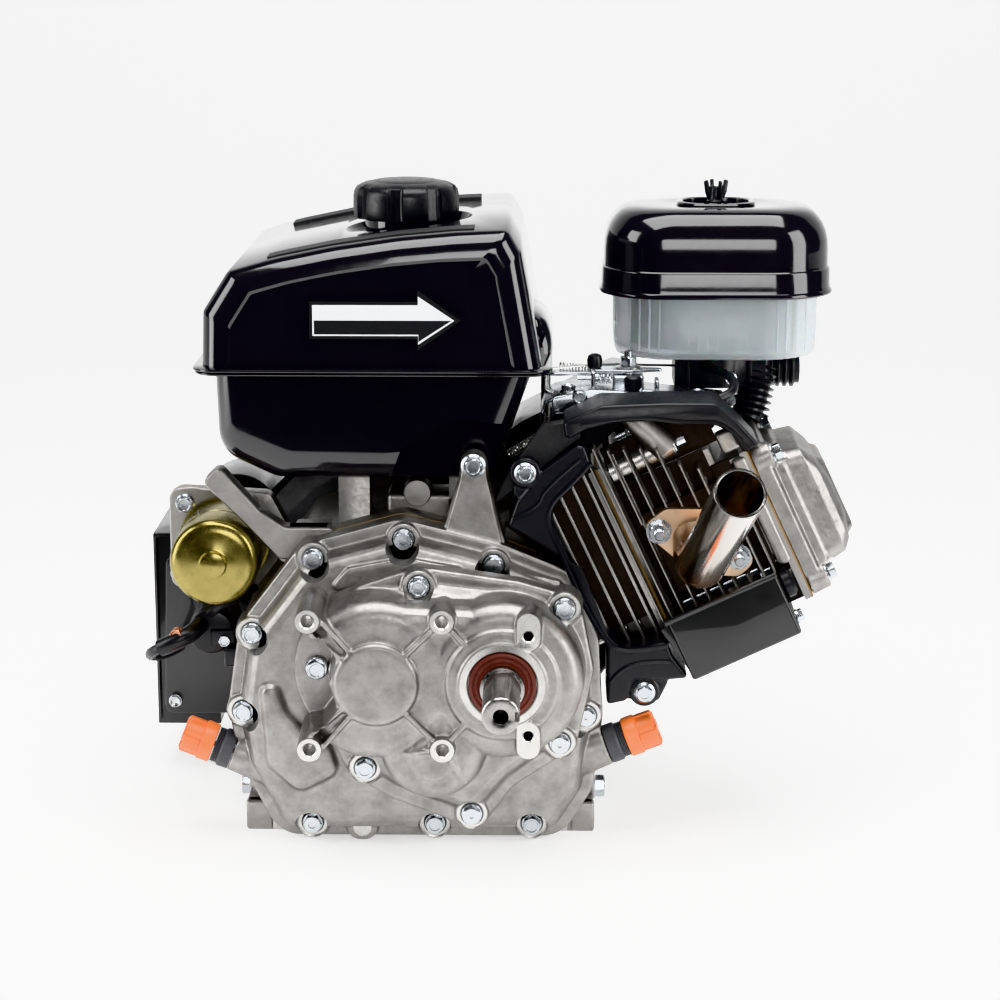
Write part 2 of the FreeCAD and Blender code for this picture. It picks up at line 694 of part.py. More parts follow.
def spur_gear(name, teeth, bore, width):
    body = new_body(name)
    sketch = body_sketch(body, name + "_teeth", "XY_Plane")
    for edge in gear_outline(teeth, dim("gear_module")):
        sketch.addGeometry(edge, False)
    pad(body, name + "_blank", sketch, width)
    round_hole(body, name + "_bore", bore)
    return body


def sprocket(name, teeth, bore, hub, width):
    """Chain wheel: a disc with a round seat for each roller."""
    count = dim(teeth)
    pitch_radius = dim("chain_pitch") / 2 / math.sin(math.pi / count)
    body = new_body(name)
    round_pad(body, name + "_disc", str(pitch_radius + 1.2), 3)
    round_pad(body, name + "_hub", hub, width)
    seat = round_hole(body, name + "_seat", 2.7, pitch_radius)
    repeat_round(body, name + "_seats", seat, teeth)
    round_hole(body, name + "_bore", bore)
    return body


def gears_and_sprockets():
    # the timing pair meets along the line from the crank to the camshaft
    toward_cam = Rotation(Y, -dim("cylinder_tilt") + 90)
    gear = spur_gear("timing_gear", dim("crank_gear_teeth"), 18.5, 12)
    node(place(gear, ("crank_x", -50, "crank_z"), toward_cam.multiply(ALONG_Y)))
    drive = sprocket("drive_sprocket", "drive_teeth", 14.0, 17.5, 3)
    node(place(drive, ("crank_x", -124, "crank_z"), ALONG_Y))
    driven = sprocket("driven_sprocket", "driven_teeth", 15.0, 24, 3)
    node(place(driven, ("crank_x + shaft_spacing", -124, "crank_z"), ALONG_Y))


def chain_points():
    """Roller centres: straight runs at the pitch, and one roller for each tooth on the wheels."""
    spacing = dim("shaft_spacing")
    small, large = (dim("chain_pitch") / 2 / math.sin(math.pi / dim(t))
                    for t in ("drive_teeth", "driven_teeth"))
    lean = math.asin((large - small) / spacing)
    run = spacing * math.cos(lean)
    run_links = run / dim("chain_pitch")
    large_links = dim("driven_teeth") * (math.pi + 2 * lean) / (2 * math.pi)
    small_links = dim("drive_teeth") * (math.pi - 2 * lean) / (2 * math.pi)
    total = round(2 * run_links + large_links + small_links)
    start = large_links / 2 % 1.0
    points = []
    for link in range(total):
        way = link + start - large_links / 2
        if way <= large_links / 2:
            angle = way * 2 * math.pi / dim("driven_teeth")
            points.append((spacing + large * math.cos(angle), large * math.sin(angle)))
        elif way <= large_links / 2 + run_links:
            done = (way - large_links / 2) / run_links
            first = (spacing - large * math.sin(lean), large * math.cos(lean))
            last = (-small * math.sin(lean), small * math.cos(lean))
            points.append(tuple(a + (b - a) * done for a, b in zip(first, last)))
        elif way <= large_links / 2 + run_links + small_links:
            past = way - large_links / 2 - run_links - small_links / 2
            angle = math.pi + past * 2 * math.pi / dim("drive_teeth")
            points.append((small * math.cos(angle), small * math.sin(angle)))
        else:
            done = (way - large_links / 2 - run_links - small_links) / run_links
            first = (-small * math.sin(lean), -small * math.cos(lean))
            last = (spacing - large * math.sin(lean), -large * math.cos(lean))
            points.append(tuple(a + (b - a) * done for a, b in zip(first, last)))
    return points


def reduction_chain():
    """Rollers with pairs of side plates; the plates pass outside the wheels' teeth."""
    centres = [Vector(CRANK.x + a, 0, CRANK.z + b) for a, b in chain_points()]
    shapes = []
    for index, here in enumerate(centres):
        ahead = centres[(index + 1) % len(centres)]
        inner = index % 2
        roller = Part.makeCylinder(2.3, 9.2, Vector(here.x, -127.1, here.z), Y)
        way = ahead - here
        side = Vector(-way.z, 0, way.x).normalize() * 3.0
        for y in (-124.75 - inner * 0.9 - 0.8, -120.25 + inner * 0.9):
            corners = [here + side, ahead + side, ahead - side, here - side, here + side]
            wire = Part.makePolygon([corner + Vector(0, y, 0) for corner in corners])
            roller = roller.fuse(Part.Face(wire).extrude(Vector(0, 0.8, 0)))
            for end in (here, ahead):
                roller = roller.fuse(Part.makeCylinder(3.0, 0.8, Vector(end.x, y, end.z), Y))
        shapes.append(roller)
    whole = shapes[0].multiFuse(shapes[1:])
    chain = doc.addObject("Part::Feature", "reduction_chain")
    chain.Shape = whole
    return node(chain)


def output_shaft():
    """Stepped shaft with a keyway near its end and a tapped centre hole."""
    length = dim("cover_front") + 12 - dim("shaft_end")
    radius = dim("shaft_radius")
    shoulder = -dim("shaft_end") + dim("gear_front") - 12
    profile = [(0, 0), (radius - 1, 0), (radius, 1), (radius, shoulder), (15, shoulder),
               (15, shoulder + 14.8),
               (12.45, shoulder + 14.8), (12.45, shoulder + 31), (15, shoulder + 31),
               (15, length - 14), (12.45, length - 14), (12.45, length), (0, length)]
    shaft = turned("output_shaft", profile)
    key = body_sketch(shaft, "keyway_outline", "YZ_Plane", radius - 3.5)
    for edge in outline([(-3.2, -1), (3.2, -1), (3.2, 44, 3), (-3.2, 44, 3)]):
        key.addGeometry(edge, False)
    keyway = shaft.newObject("PartDesign::Pocket", "keyway")
    keyway.Profile = key
    keyway.Length = 10
    keyway.Reversed = True
    centre = body_sketch(shaft, "centre_hole_circle", "XY_Plane")
    sketch_circle(centre, 5.1)
    hole = shaft.newObject("PartDesign::Pocket", "centre_hole")
    hole.Profile = centre
    hole.Length = 30
    hole.Reversed = True
    place(shaft, ("crank_x + shaft_spacing", "shaft_end", "crank_z"), ALONG_Y)
    return node(shaft)


# ---------------------------------------------------------------- piston and rod

def piston_group():
    """Everything that follows the bore: piston, wrist pin, rod and crankpin."""
    pin = dim("pin_height")
    radius = dim("piston_radius")
    crown = pin + 35
    piston = turned("piston_blank", [(0, crown), (radius, crown), (radius, crown - 5),
                                     (radius - 3, crown - 5),
                                     (radius - 3, crown - 7), (radius, crown - 7), (radius, crown - 10),
                                     (radius - 3, crown - 10), (radius - 3, crown - 12),
                                     (radius, crown - 12),
                                     (radius, crown - 60), (radius - 5, crown - 60),
                                     (radius - 5, crown - 8),
                                     (0, crown - 8)])
    place(piston, (0, 0, "bore_offset"), Rotation(Z, X))
    bosses = [cylinder(f"pin_boss_{name}", 16, 24, (pin, y, "bore_offset"))
              for name, y in (("front", -40), ("rear", 16))]
    held = doc.addObject("Part::MultiCommon", "pin_bosses")
    held.Shapes = [fuse("pin_bosses_raw", *bosses),
                   cylinder("piston_limit", radius - 1, 60, (crown - 60, 0, "bore_offset"), X)]
    bore = cylinder("pin_bore", 10, 90, (pin, -45, "bore_offset"))
    node(on_cylinder(cut("piston", fuse("piston_whole", piston, held), bore)))
    wrist = ring("wrist_pin", 10, 6, 78, (pin, -39, "bore_offset"))
    node(on_cylinder(wrist))
    big = cylinder("rod_big_end", 25, 24, (-32, -12, 0))
    small = cylinder("rod_small_end", 15, 24, (pin, -12, "bore_offset"))
    side = dim("bore_offset")
    beam = prism("rod_beam", [outline([(-32, -12), (-32, 12), (pin, side + 9), (pin, side - 9)])], -7, 7)
    rod = fuse("rod_solid", big, small, beam)
    eyes = [cylinder("big_eye", 15, 30, (-32, -15, 0)),
            cylinder("small_eye", 10, 30, (pin, -15, "bore_offset"))]
    node(on_cylinder(cut("connecting_rod", rod, *eyes)))
    pin_bar = cylinder("crank_pin_bar", 15, 26, ("-crank_throw", -13, 0))
    node(on_cylinder(holder("crank_pin", pin_bar)))


# ---------------------------------------------------------------- camshaft and valve gear

def camshaft():
    half = dim("pushrod_spacing") / 2
    shaft = cylinder("cam_bar", "cam_journal", 138, (0, -90, 0))
    lobes = []
    for name, y, angle in (("intake", -half - 6, 100), ("exhaust", half - 6, 205)):
        way = Vector(math.cos(math.radians(angle)), 0, math.sin(math.radians(angle)))
        lobes.append(cylinder(f"{name}_lobe_base", 12, 12, (0, y, 0)))
        lobes.append(cylinder(f"{name}_lobe_nose", 8, 12, (way.x * 9.5, y, way.z * 9.5)))
    teeth = dim("cam_gear_teeth")
    blank = prism("cam_gear", [gear_outline(teeth, dim("gear_module")), *[
        disc(30 * math.cos(k * math.pi / 3), 30 * math.sin(k * math.pi / 3), 8) for k in range(6)]], -50,
                  -38)
    hub = cylinder("cam_gear_hub", 15, 20, (0, -50, 0))
    # half a tooth of turn puts a gap under the crank gear's tooth
    turned_gear = place(holder("cam_gear_set", blank), (0, 0, 0), Rotation(Y, 180 / teeth))
    whole = fuse("camshaft", shaft, *lobes, hub, turned_gear)
    centre = in_cylinder(0, -dim("cam_offset"))
    return node(place(whole, (centre.x, 0, centre.z), CYLINDER_TURN))


def valve_gear():
    half = dim("valve_spacing") / 2
    rod = dim("pushrod_spacing") / 2
    # valve stems stand at this height across the bore, pushrods at the tunnel
    stem_side = -22.0
    pivot_side = -46.0
    for name, sign in (("intake", -1), ("exhaust", 1)):
        y = sign * half
        head = cone(f"{name}_valve_head", 17, 4, 7, (198, y, stem_side), X)
        stem = cylinder(f"{name}_valve_stem", 3.47, 88, (198, y, stem_side), X)
        retainer = cylinder(f"{name}_retainer", 10, 3, (281, y, stem_side), X)
        node(on_cylinder(fuse(f"{name}_valve", head, stem, retainer)))
        tappet = cylinder(f"{name}_tappet", 8, 6, (19, sign * rod, "-cam_offset"), X)
        pushrod = cylinder(f"{name}_rod", 3.5, 262, (22, sign * rod, "-cam_offset"), X)
        tip = cylinder(f"{name}_tip", 4.5, 3, (284, sign * rod, "-cam_offset"), X)
        node(on_cylinder(fuse(f"{name}_pushrod", tappet, pushrod, tip)))
        arm = prism(f"{name}_rocker_arm",
                    [outline([(290, stem_side + 5), (286.4, stem_side + 5), (286.4, stem_side - 5),
                                                    (288, pivot_side), (287.4, -66), (287.4, -78),
                              (292, -78),
                                                    (297, pivot_side)], 1.5)], sign * half - 5,
                    sign * half + 5)
        hub = cylinder(f"{name}_rocker_hub", 8, 24, (291, sign * half - 12, pivot_side))
        reach = box(f"{name}_rocker_reach", (4.6, 12, 12), (287.4, sign * rod - 6, -78))
        eye = cylinder(f"{name}_rocker_eye", 4.05, 40, (291, sign * half - 20, pivot_side))
        node(on_cylinder(cut(f"{name}_rocker", fuse(f"{name}_rocker_solid", arm, hub, reach), eye)))
    shaft = cylinder("rocker_bar", 4, 90, (291, -45, pivot_side))
    posts = [box(f"rocker_post_{k}", (30, 6, 12), (268, y, pivot_side - 6))
             for k, y in ((0, -45), (1, -3), (2, 39))]
    node(on_cylinder(fuse("rocker_shaft", shaft, *posts)))
    springs = []
    for sign in (-1, 1):
        springs.append(ring(f"valve_spring_{sign + 1}", 9.5, 7, 12.6, (268.2, sign * half, stem_side), X))
    node(on_cylinder(fuse("valve_springs", *springs)))


# ---------------------------------------------------------------- cylinder head

def cylinder_head():
    """Finned head: chamber underneath, rocker tray on top, ports through front and back."""
    core = box("head_core", (76, 104, 92), (190, -52, -60))
    foot = box("head_foot", (6, 116, 136), (190, -58, -84))
    tunnel = box("head_tunnel", (78, 56, 28), (190, -28, -88))
    tray = box("head_tray", (22, 104, 112), (266, -52, -94))
    fins = [box(f"head_fin_{k}", ("fin_thickness", 120, 134 - 8.7 * k), (203 + k * 10.3, -60, -76))
            for k in range(6)]
    rim = box("head_rim", (5, 110, 116), (284, -55, -96))
    ports = [box("exhaust_boss", (56, 14, 60), (206, -65, -50)),
             box("intake_boss", (52, 14, 56), (207, 48.2, -48))]
    whole = fuse("head_whole", core, foot, tunnel, tray, *fins, rim, *ports)
    valve = dim("valve_spacing") / 2
    holes = [cylinder("chamber", 41, 16, (188, 0, "bore_offset"), X),
             box("tray_hollow", (22, 92, 100), (268, -46, -88)),
             box("tunnel_hollow", (90, 44, 18), (188, -22, -81)),
             cylinder("exhaust_port", 14, 70, (233, -70, -20)),
             cylinder("intake_port", 14, 50, (233, 10, -20))]
    for sign in (-1, 1):
        holes.append(cylinder(f"guide_{sign + 1}", 3.52, 80, (196, sign * valve, -22), X))
        holes.append(cone(f"seat_{sign + 1}", 17.6, 4, 14, (203, sign * valve, -22), X))
    for index, (side, deep) in enumerate(HEAD_BOLTS):
        holes.append(cylinder(f"head_hole_{index}", 5, 80, (188, deep, side), X))
        holes.append(cylinder(f"head_relief_{index}", 10.8, 60, (262, deep, side), X))
    plug_way = Vector(0.55, 0.6, 0.6)
    seat = Vector(212, 44, 20) + plug_way.normalize() * 19
    holes.append(cylinder("plug_hole", 7, 60, (212, 44, 20), plug_way))
    holes.append(cylinder("plug_relief", 14, 60, tuple(seat), plug_way))
    for index, (along, side) in enumerate(EXHAUST_STUD_PLACES):
        holes.append(cylinder(f"exhaust_stud_hole_{index}", 3.2, 30, (along, -72, side)))
    return node(on_cylinder(cut("cylinder_head", whole, *holes)))


def head_gasket():
    sheet_metal = box("gasket_sheet", (2, 116, 136), (188, -58, -84))
    holes = [cylinder("gasket_bore", 44.5, 4, (187, 0, "bore_offset"), X),
             box("gasket_slot", (4, 44, 18), (187, -22, -81))]
    for index, (side, deep) in enumerate(HEAD_BOLTS):
        holes.append(cylinder(f"gasket_hole_{index}", 5.2, 6, (186, deep, side), X))
    return on_cylinder(cut("head_gasket", sheet_metal, *holes))


def rocker_gasket():
    holes = [cylinder(f"rocker_gasket_hole_{k}", 3.4, 8, (286, y, z), X)
             for k, (z, y) in enumerate(ROCKER_BOLTS)]
    sheet_ring = box("rocker_gasket_sheet", (1.2, 110, 116), (289, -55, -96))
    return on_cylinder(cut("rocker_gasket", sheet_ring,
                           box("rocker_gasket_window", (4, 92, 82), (288, -46, -81)), *holes))


def gaskets():
    """The case, head and rocker gaskets, one node of separate sheets."""
    together = doc.addObject("Part::Compound", "gaskets")
    together.Links = [cover_gasket(), head_gasket(), rocker_gasket()]
    return node(together)


def rocker_cover():
    rim = box("rocker_rim", (12, 110, 116), (290.2, -55, -96))
    dome = box("rocker_dome", (44, 94, 79.5), (290.2, -47, -78.5))
    hollow = box("rocker_hollow", (42, 88, 73.5), (289, -44, -75.5))
    ears = [cylinder(f"rocker_ear_{k}", 10, 15, (290.2, y, z), X) for k, (z, y) in enumerate(ROCKER_BOLTS)]
    holes = [cylinder(f"rocker_cover_hole_{k}", 3.4, 30, (285, y, z), X)
             for k, (z, y) in enumerate(ROCKER_BOLTS)]
    wider = box("rocker_wider", (10.5, 92, 100), (289, -46, -88))
    whole = fuse("rocker_cover_whole", rim, dome, *ears)
    node(on_cylinder(cut("rocker_cover", whole, hollow, cut("rocker_lower", wider, *[
        cylinder(f"rocker_pillar_{k}", 9, 12, (289, y, z), X) for k, (z, y) in enumerate(ROCKER_BOLTS)]),
                         *holes)))


def spark_plug():
    way = Vector(0.55, 0.6, 0.6)
    plug = turned("spark_plug_body", [(0, 0), (6.9, 0), (6.9, 20), (10, 20), (10, 30), (7, 30), (5.5, 48),
                                      (0, 48)])
    place(plug, (212, 44, 20), Rotation(Z, way))
    node(on_cylinder(holder("spark_plug", plug)))
    way_unit = Vector(way).normalize()
    start = Vector(212, 44, 20) + way_unit * 30.5
    outer = cylinder("cap_outer", 10.5, 34, tuple(start), way_unit)
    inner = cylinder("cap_inner", 7.3, 18, tuple(start - way_unit * 0.2), way_unit)
    coil = prism("coil_core", [outline([(-40, 246), (-40, 256), (-8, 256), (-8, 246)], 2)], 96, 118)
    ignition = doc.addObject("Part::Compound", "ignition_coil")
    ignition.Links = [coil, on_cylinder(cut("spark_plug_cap", outer, inner))]
    node(ignition)


# ---------------------------------------------------------------- cooling and starting

DUCT = [(40, 248), (70, 272), (140, 308), (154, 302), (154, 246), (150, 100), (130, 74), (60, 40)]


def drum(name, radius, front, back, bump, duct_inset):
    hub = cylinder(name + "_hub", radius, f"({back}) - ({front})", ("crank_x", front, "crank_z"))
    side = cylinder(name + "_starter", bump, f"({back} - 30) - ({front})",
                    ("starter_x", front, "starter_z"))
    duct = prism(name + "_duct", [outline(inset(DUCT, duct_inset), 10)], front, f"{back} - 8")
    return fuse(name, hub, side, duct)


def cooling():
    outer = drum("fan_cover_outer", "fan_cover_radius", 78, 166, 31, 0)
    inner = drum("fan_cover_inner", "fan_cover_radius - 2", 77, 164, 29, 2)
    inlet = cylinder("fan_inlet", 86, 30, ("crank_x", 150, "crank_z"))
    node(cut("fan_cover", outer, inner, inlet))
    flywheel = turned("flywheel", [(15.05, 90), (34, 90), (34, 96), (82, 96), (82, 92), (100, 92),
                                   (100, 86),
                                   (117, 86), (117, 93), (100.5, 93), (100.5, 118), (82, 118), (82, 104),
                                   (30, 104), (30, 116), (15.05, 116)])
    node(place(flywheel, ("crank_x", 0, "crank_z"), ALONG_Y))
    fan = new_body("cooling_fan")
    round_pad(fan, "fan_plate", 98, 2.5)
    blade = body_sketch(fan, "blade_outline", "XY_Plane")
    for edge in outline([(52, -2), (97, 12), (97, 15), (52, 1)], 0.5):
        blade.addGeometry(edge, False)
    first = pad(fan, "blade", blade, 26)
    repeat_round(fan, "blades", first, "16")
    round_hole(fan, "fan_bore", 47)
    node(place(fan, ("crank_x", 118.2, "crank_z"), ALONG_Y))
    cup = turned("starter_cup", [(8.1, 116.2), (29, 116.2), (29, 118), (44, 124), (44, 148), (41.5, 148),
                                 (41.5, 126), (27, 119.5), (13, 119.5), (13, 131), (8.1, 131)])
    node(place(cup, ("crank_x", 0, "crank_z"), ALONG_Y))


def recoil():
    outer = cylinder("recoil_outer", 92, 38, ("crank_x", 166.2, "crank_z"))
    inner = cylinder("recoil_inner", 89.5, 36, ("crank_x", 165.7, "crank_z"))
    slots = [box(f"recoil_slot_{k}", (34, 8, 5), (40, 199, -2.5)) for k in range(12)]
    turned_slots = []
    for k, slot in enumerate(slots):
        turned_slots.append(place(holder(f"recoil_slot_set_{k}", slot), ("crank_x", 0, "crank_z"),
                                  Rotation(Y, 30 * k)))
    mouth = cylinder("rope_mouth", 5, 30, (-98, 184, 210), Vector(-0.7, 0, 0.7))
    spindle = cylinder("recoil_spindle", 6, 32, ("crank_x", 172, "crank_z"))
    node(fuse("recoil_cover", cut("recoil_shell", outer, inner, *turned_slots, mouth), spindle))
    way = Vector(-0.7071, 0, 0.7071)
    grip = cylinder("grip_bar", 8, 70, (-106 - 25, 184, 218 - 25), Vector(0.7071, 0, 0.7071))
    stem = cylinder("grip_stem", 4, 16, (-97, 184, 209), way)
    node(fuse("recoil_handle", grip, stem))


# ---------------------------------------------------------------- fuel tank

TANK_UPPER = [(-148, 341), (-146, 379), (-128, 407), (63, 435), (70, 421), (88, 341)]
TANK_LOWER = [(-143, 336), (-141, 280), (-101, 262), (52, 262), (62, 290), (84, 336)]


def tank_shell(name, points, radius, front, back, below, above):
    """A hollow half tank, open at the seam, and the cutter of its mouth."""
    outer = prism(name + "_outer", [outline(points, radius)], front, back)
    inner_points = inset(points, dim("tank_sheet"))
    inner = prism(name + "_inner", [outline(inner_points, max(radius - 2, 1))], f"{front} + 2",
                  f"{back} - 2")
    (left, seam), (right, seam_right) = points[0], points[-1]
    left, right = left + 2.5, right - 2.5
    mouth_points = [(left, seam - below), (right, seam_right - below),
                    (right, seam_right + above), (left, seam + above)]
    mouth = prism(name + "_mouth", [outline(mouth_points)], f"{front} + 2", f"{back} - 2")
    return outer, inner, mouth


def tank():
    upper, upper_inner, upper_mouth = tank_shell("tank_top", TANK_UPPER, 9, "tank_front", "tank_back", 1, 4)
    lower, lower_inner, lower_mouth = tank_shell("tank_bottom", TANK_LOWER, 12, "tank_front + 32",
                                                 "tank_back - 4", 4, 1)
    rim = rectangle(-154.4, dim("tank_front") - 4, 92.8, dim("tank_back") + 3, 14)
    hole = rectangle(-133, dim("tank_front") + 7, 82, dim("tank_back") - 7, 10)
    upper_rim = slab("tank_upper_rim", [rim, hole], "tank_seam", "tank_seam + 2.5")
    lower_hole = rectangle(-131, dim("tank_front") + 34, 80, dim("tank_back") - 7, 10)
    lower_rim = slab("tank_lower_rim", [rim, lower_hole], "tank_seam - 2.5", "tank_seam")
    neck = cylinder("filler_neck", "filler_radius + 2", 22, ("filler_x", "filler_y", 414), Z)
    neck_hole = cylinder("filler_hole", "filler_radius", 60, ("filler_x", "filler_y", 395), Z)
    node(cut("tank_upper_shell", fuse("tank_upper_whole",
                                      cut("tank_upper_body", upper, upper_inner, upper_mouth),
                                      upper_rim, neck), neck_hole))
    node(fuse("tank_lower_shell", cut("tank_lower_body", lower, lower_inner, lower_mouth), lower_rim))
    skirt = cylinder("cap_skirt", "cap_radius", 27, ("filler_x", "filler_y", 433), Z)
    socket = cylinder("cap_socket", "filler_radius + 2.4", 9, ("filler_x", "filler_y", 430), Z)
    node(cut("fuel_cap", skirt, socket))


# ---------------------------------------------------------------- intake side

def cleaner_outline(half_x, half_y, radius):
    cx, cy = dim("cleaner_x"), dim("cleaner_y")
    return rectangle(cx - half_x, cy - half_y, cx + half_x, cy + half_y, radius)


def air_cleaner():
    bowl = slab("bowl_outer", [cleaner_outline(73.5, 54, 40)], 330, 380)
    bowl_hollow = slab("bowl_inner", [cleaner_outline(71, 51.5, 38)], 332.5, 382)
    throat = cylinder("bowl_throat", 18, 20, ("cleaner_x", "cleaner_y", 325), Z)
    throat_wall = cylinder("bowl_throat_wall", 22, 10, ("cleaner_x", "cleaner_y", 330), Z)
    shell = cut("bowl_shell", bowl, bowl_hollow)
    node(cut("air_cleaner_bowl", fuse("bowl_whole", shell, throat_wall), throat))
    cover = fuse("cleaner_cover_outer", slab("cleaner_cover_skirt", [cleaner_outline(83.7, 61, 46)],
                                             376.5, 412),
                 slab("cleaner_cover_top", [cleaner_outline(72, 50, 40)], 412, 438))
    cover_hollow = fuse("cleaner_cover_inner",
                        slab("cleaner_skirt_hollow", [cleaner_outline(81.7, 59, 44)], 375, 410),
                        slab("cleaner_top_hollow", [cleaner_outline(70, 48, 38)], 405, 436))
    stud_clear = cylinder("cover_stud_hole", 3.3, 40, ("cleaner_x", "cleaner_y", 410), Z)
    node(cut("air_cleaner_cover", cover, cover_hollow, stud_clear))
    stud = cylinder("cleaner_stud", 3, 120, ("cleaner_x", "cleaner_y", 326), Z)
    bar = box("stud_bar", (40, 8, 3), ("cleaner_x - 20", "cleaner_y - 4", 326))
    element = cut("filter_element", slab("filter_outer", [cleaner_outline(60, 42, 34)], 341, 400),
                  slab("filter_inner", [cleaner_outline(42, 24, 18)], 340, 401))
    node(element)
    wing = fuse("wing_nut_whole", cylinder("wing_hub", 6.5, 11, ("cleaner_x", "cleaner_y", 438.6), Z),
                box("wing_left", (11, 3, 11), ("cleaner_x - 16", "cleaner_y - 1.5", 446)),
                box("wing_right", (11, 3, 11), ("cleaner_x + 5", "cleaner_y - 1.5", 446)))
    node(cut("wing_nut", wing, cylinder("wing_bore", 3.1, 30, ("cleaner_x", "cleaner_y", 436), Z)))
    elbow = fuse("elbow_whole", cylinder("elbow_up", 24, 24, ("cleaner_x", "cleaner_y", 306), Z),
                 box("elbow_block", (66, 46, 22), (182, 40, 305)),
                 cylinder("elbow_side", 11, 30, (244, 64, 316), X))
    hollowed = cut("elbow_hollowed", elbow,
                   cylinder("elbow_bore", 18, 32, ("cleaner_x", "cleaner_y", 300), Z),
                   cylinder("elbow_cross", 8, 60, (220, 64, 316), X))
    node(fuse("air_cleaner_elbow", hollowed, stud, bar))


def fuel_system():
    port = in_cylinder(233, -20, 0)
    body = fuse("carb_whole", box("carb_body", (40, 34, 34), (port.x - 12, 68, port.z + 4)),
                cylinder("carb_barrel", 17, 34, (port.x, 66, port.z + 1)),
                cylinder("carb_bowl", 17, 32, (port.x, 86, port.z - 34), Z))
    flange = box("carb_flange", (50, 5.8, 46), (port.x - 25, 62.2, port.z - 22))
    node(cut("carburetor", fuse("carb_solid", body, flange),
             cylinder("carb_bore", 12, 60, (port.x, 50, port.z + 1))))
    choke = fuse("choke_solid", cylinder("choke_pivot", 3, 20, (port.x + 12, 84, port.z + 38.3), Z),
                 box("choke_arm", (34, 8, 2.5), (port.x + 8, 80, port.z + 56)))
    choke.Label = "choke_lever"
    node(choke)


def control():
    """Speed control: a folded bracket above the barrel, the hand lever and the governor arm."""
    foot = prism("bracket_plate", [outline([(84, 296), (84, 308), (118, 314), (216, 306), (216, 303),
                                            (120, 309.5), (90, 303), (88, 296)], 1)], -24, 34)
    tower = box("bracket_tower", (26, 22, 14), (134, 0, 308))
    node(cut("control_bracket", fuse("bracket_whole", foot, tower),
             cylinder("lever_hole", 4.1, 40, (147, 11, 300), Z),
             cylinder("governor_hole", 3.6, 40, (88, 24, 290), Z)))
    lever = fuse("control_lever_solid", cylinder("lever_pivot", 4, 24, (147, 11, 304), Z),
                 box("lever_plate", (52, 12, 2.5), (119, 5, 322.6)),
                 cylinder("lever_knob", 5, 10, (123, 11, 325), Z))
    lever.Label = "control_lever"
    node(lever)
    arm = fuse("governor_solid", cylinder("governor_shaft", 3.5, 60, (88, 24, 252), Z),
               box("governor_plate", (44, 12, 2.5), (84, 18, 318)))
    arm.Label = "governor_arm"
    node(arm)


# ---------------------------------------------------------------- exhaust

def exhaust():
    port = in_cylinder(233, -20, -65)
    flange = prism("exhaust_plate", [outline([(port.x - 40, port.z + 8), (port.x - 22, port.z + 22),
                                              (port.x + 8, port.z + 22),
                                              (port.x + 42, port.z - 14), (port.x + 30, port.z - 26),
                                              (port.x - 2, port.z - 24)], 8)],
                   -71.2, -65)
    holes = [cylinder(f"flange_hole_{k}", 4.3, 20, (s.x, -80, s.z)) for k, s in enumerate(EXHAUST_STUDS)]
    plate = cut("exhaust_flange", flange, cylinder("flange_bore", 13.9, 20, (port.x, -80, port.z)), *holes)
    path = [Vector(port.x, -70, port.z), Vector(port.x, -98, port.z - 14), Vector(211.7, -215, 285.6)]
    route = pipe_route(path, 26)
    pipe = doc.addObject("Part::Feature", "exhaust_tube")
    outer = pipe_solid(route, dim("pipe_radius"))
    inner = pipe_solid(route, dim("pipe_radius") - dim("pipe_wall"))
    behind = Part.makeBox(100, 40, 100, Vector(port.x - 50, -65.5, port.z - 50))
    pipe.Shape = outer.cut(inner).cut(behind)
    node(fuse("exhaust_pipe", pipe, plate))


def pipe_route(points, radius):
    """Two straight runs joined by one tangent arc."""
    first = (points[0] - points[1]).normalize()
    second = (points[2] - points[1]).normalize()
    half = first.getAngle(second) / 2
    reach = radius / math.tan(half)
    start = points[1] + first * reach
    end = points[1] + second * reach
    inward = (first + second).normalize()
    middle = points[1] + inward * (radius / math.sin(half) - radius)
    return Part.Wire([Part.makeLine(points[0], start), Part.Arc(start, middle, end).toShape(),
                      Part.makeLine(end, points[2])])


def pipe_solid(route, radius):
    start = route.Vertexes[0].Point
    way = route.Vertexes[1].Point - start
    circle = Part.Wire([Part.Circle(start, way, radius).toShape()])
    return route.makePipeShell([circle], True, False)


# ---------------------------------------------------------------- shrouds

def shrouds():
    """Front air guide: a folded sheet round the barrel, open over the head's fins."""
    window = [(188.7, 60), (163.3, 42.5), (153.4, 30.3), (150.4, 14.8), (152, -35), (153.3, -54.8),
              (162.3, -66.6), (180, -72.6)]
    plate = [(p.x, p.z) for p in (in_cylinder(s, t) for s, t in window)]
    outer = [(66, 222), (56, 232), (62, 252), (64, 277), (83, 280), (92, 300), (118, 312)]
    strip_edge = [(236, 84), (252, 70), (292, 48), (296, 41), (249, 60), (230, 72), (193, 70)]
    strip = [(p.x, p.z) for p in (in_cylinder(s, t) for s, t in strip_edge)]
    bottom = [(168, 118), (158, 98), (136, 104), (133, 158), (118, 196), (90, 214)]
    shroud = prism("shroud_sheet", [outline(outer + strip + plate + bottom, 3)], -78, -74)
    wall_edge = [(150, 80), (236, 82), (252, 68), (250, 65), (235, 79), (150, 77)]
    wall_points = [(p.x, p.z) for p in (in_cylinder(s, t) for s, t in wall_edge)]
    wall = prism("shroud_wall", [outline(wall_points, 1)], -75, -30)
    screw_holes = [cylinder(f"shroud_hole_{k}", 3.4, 10, (x, -80, z))
                   for k, (x, z) in enumerate(SHROUD_SCREWS)]
    node(cut("cylinder_shroud", fuse("shroud_whole", shroud, wall), *screw_holes))
    # black sheet box below the head
    guide = [box("guide_front", (88, 2, 40), (184, -80, -110)),
             box("guide_bottom", (88, 76, 2), (184, -80, -112))]
    node(on_cylinder(fuse("side_air_guide", *guide)))


# ---------------------------------------------------------------- starter and electrics

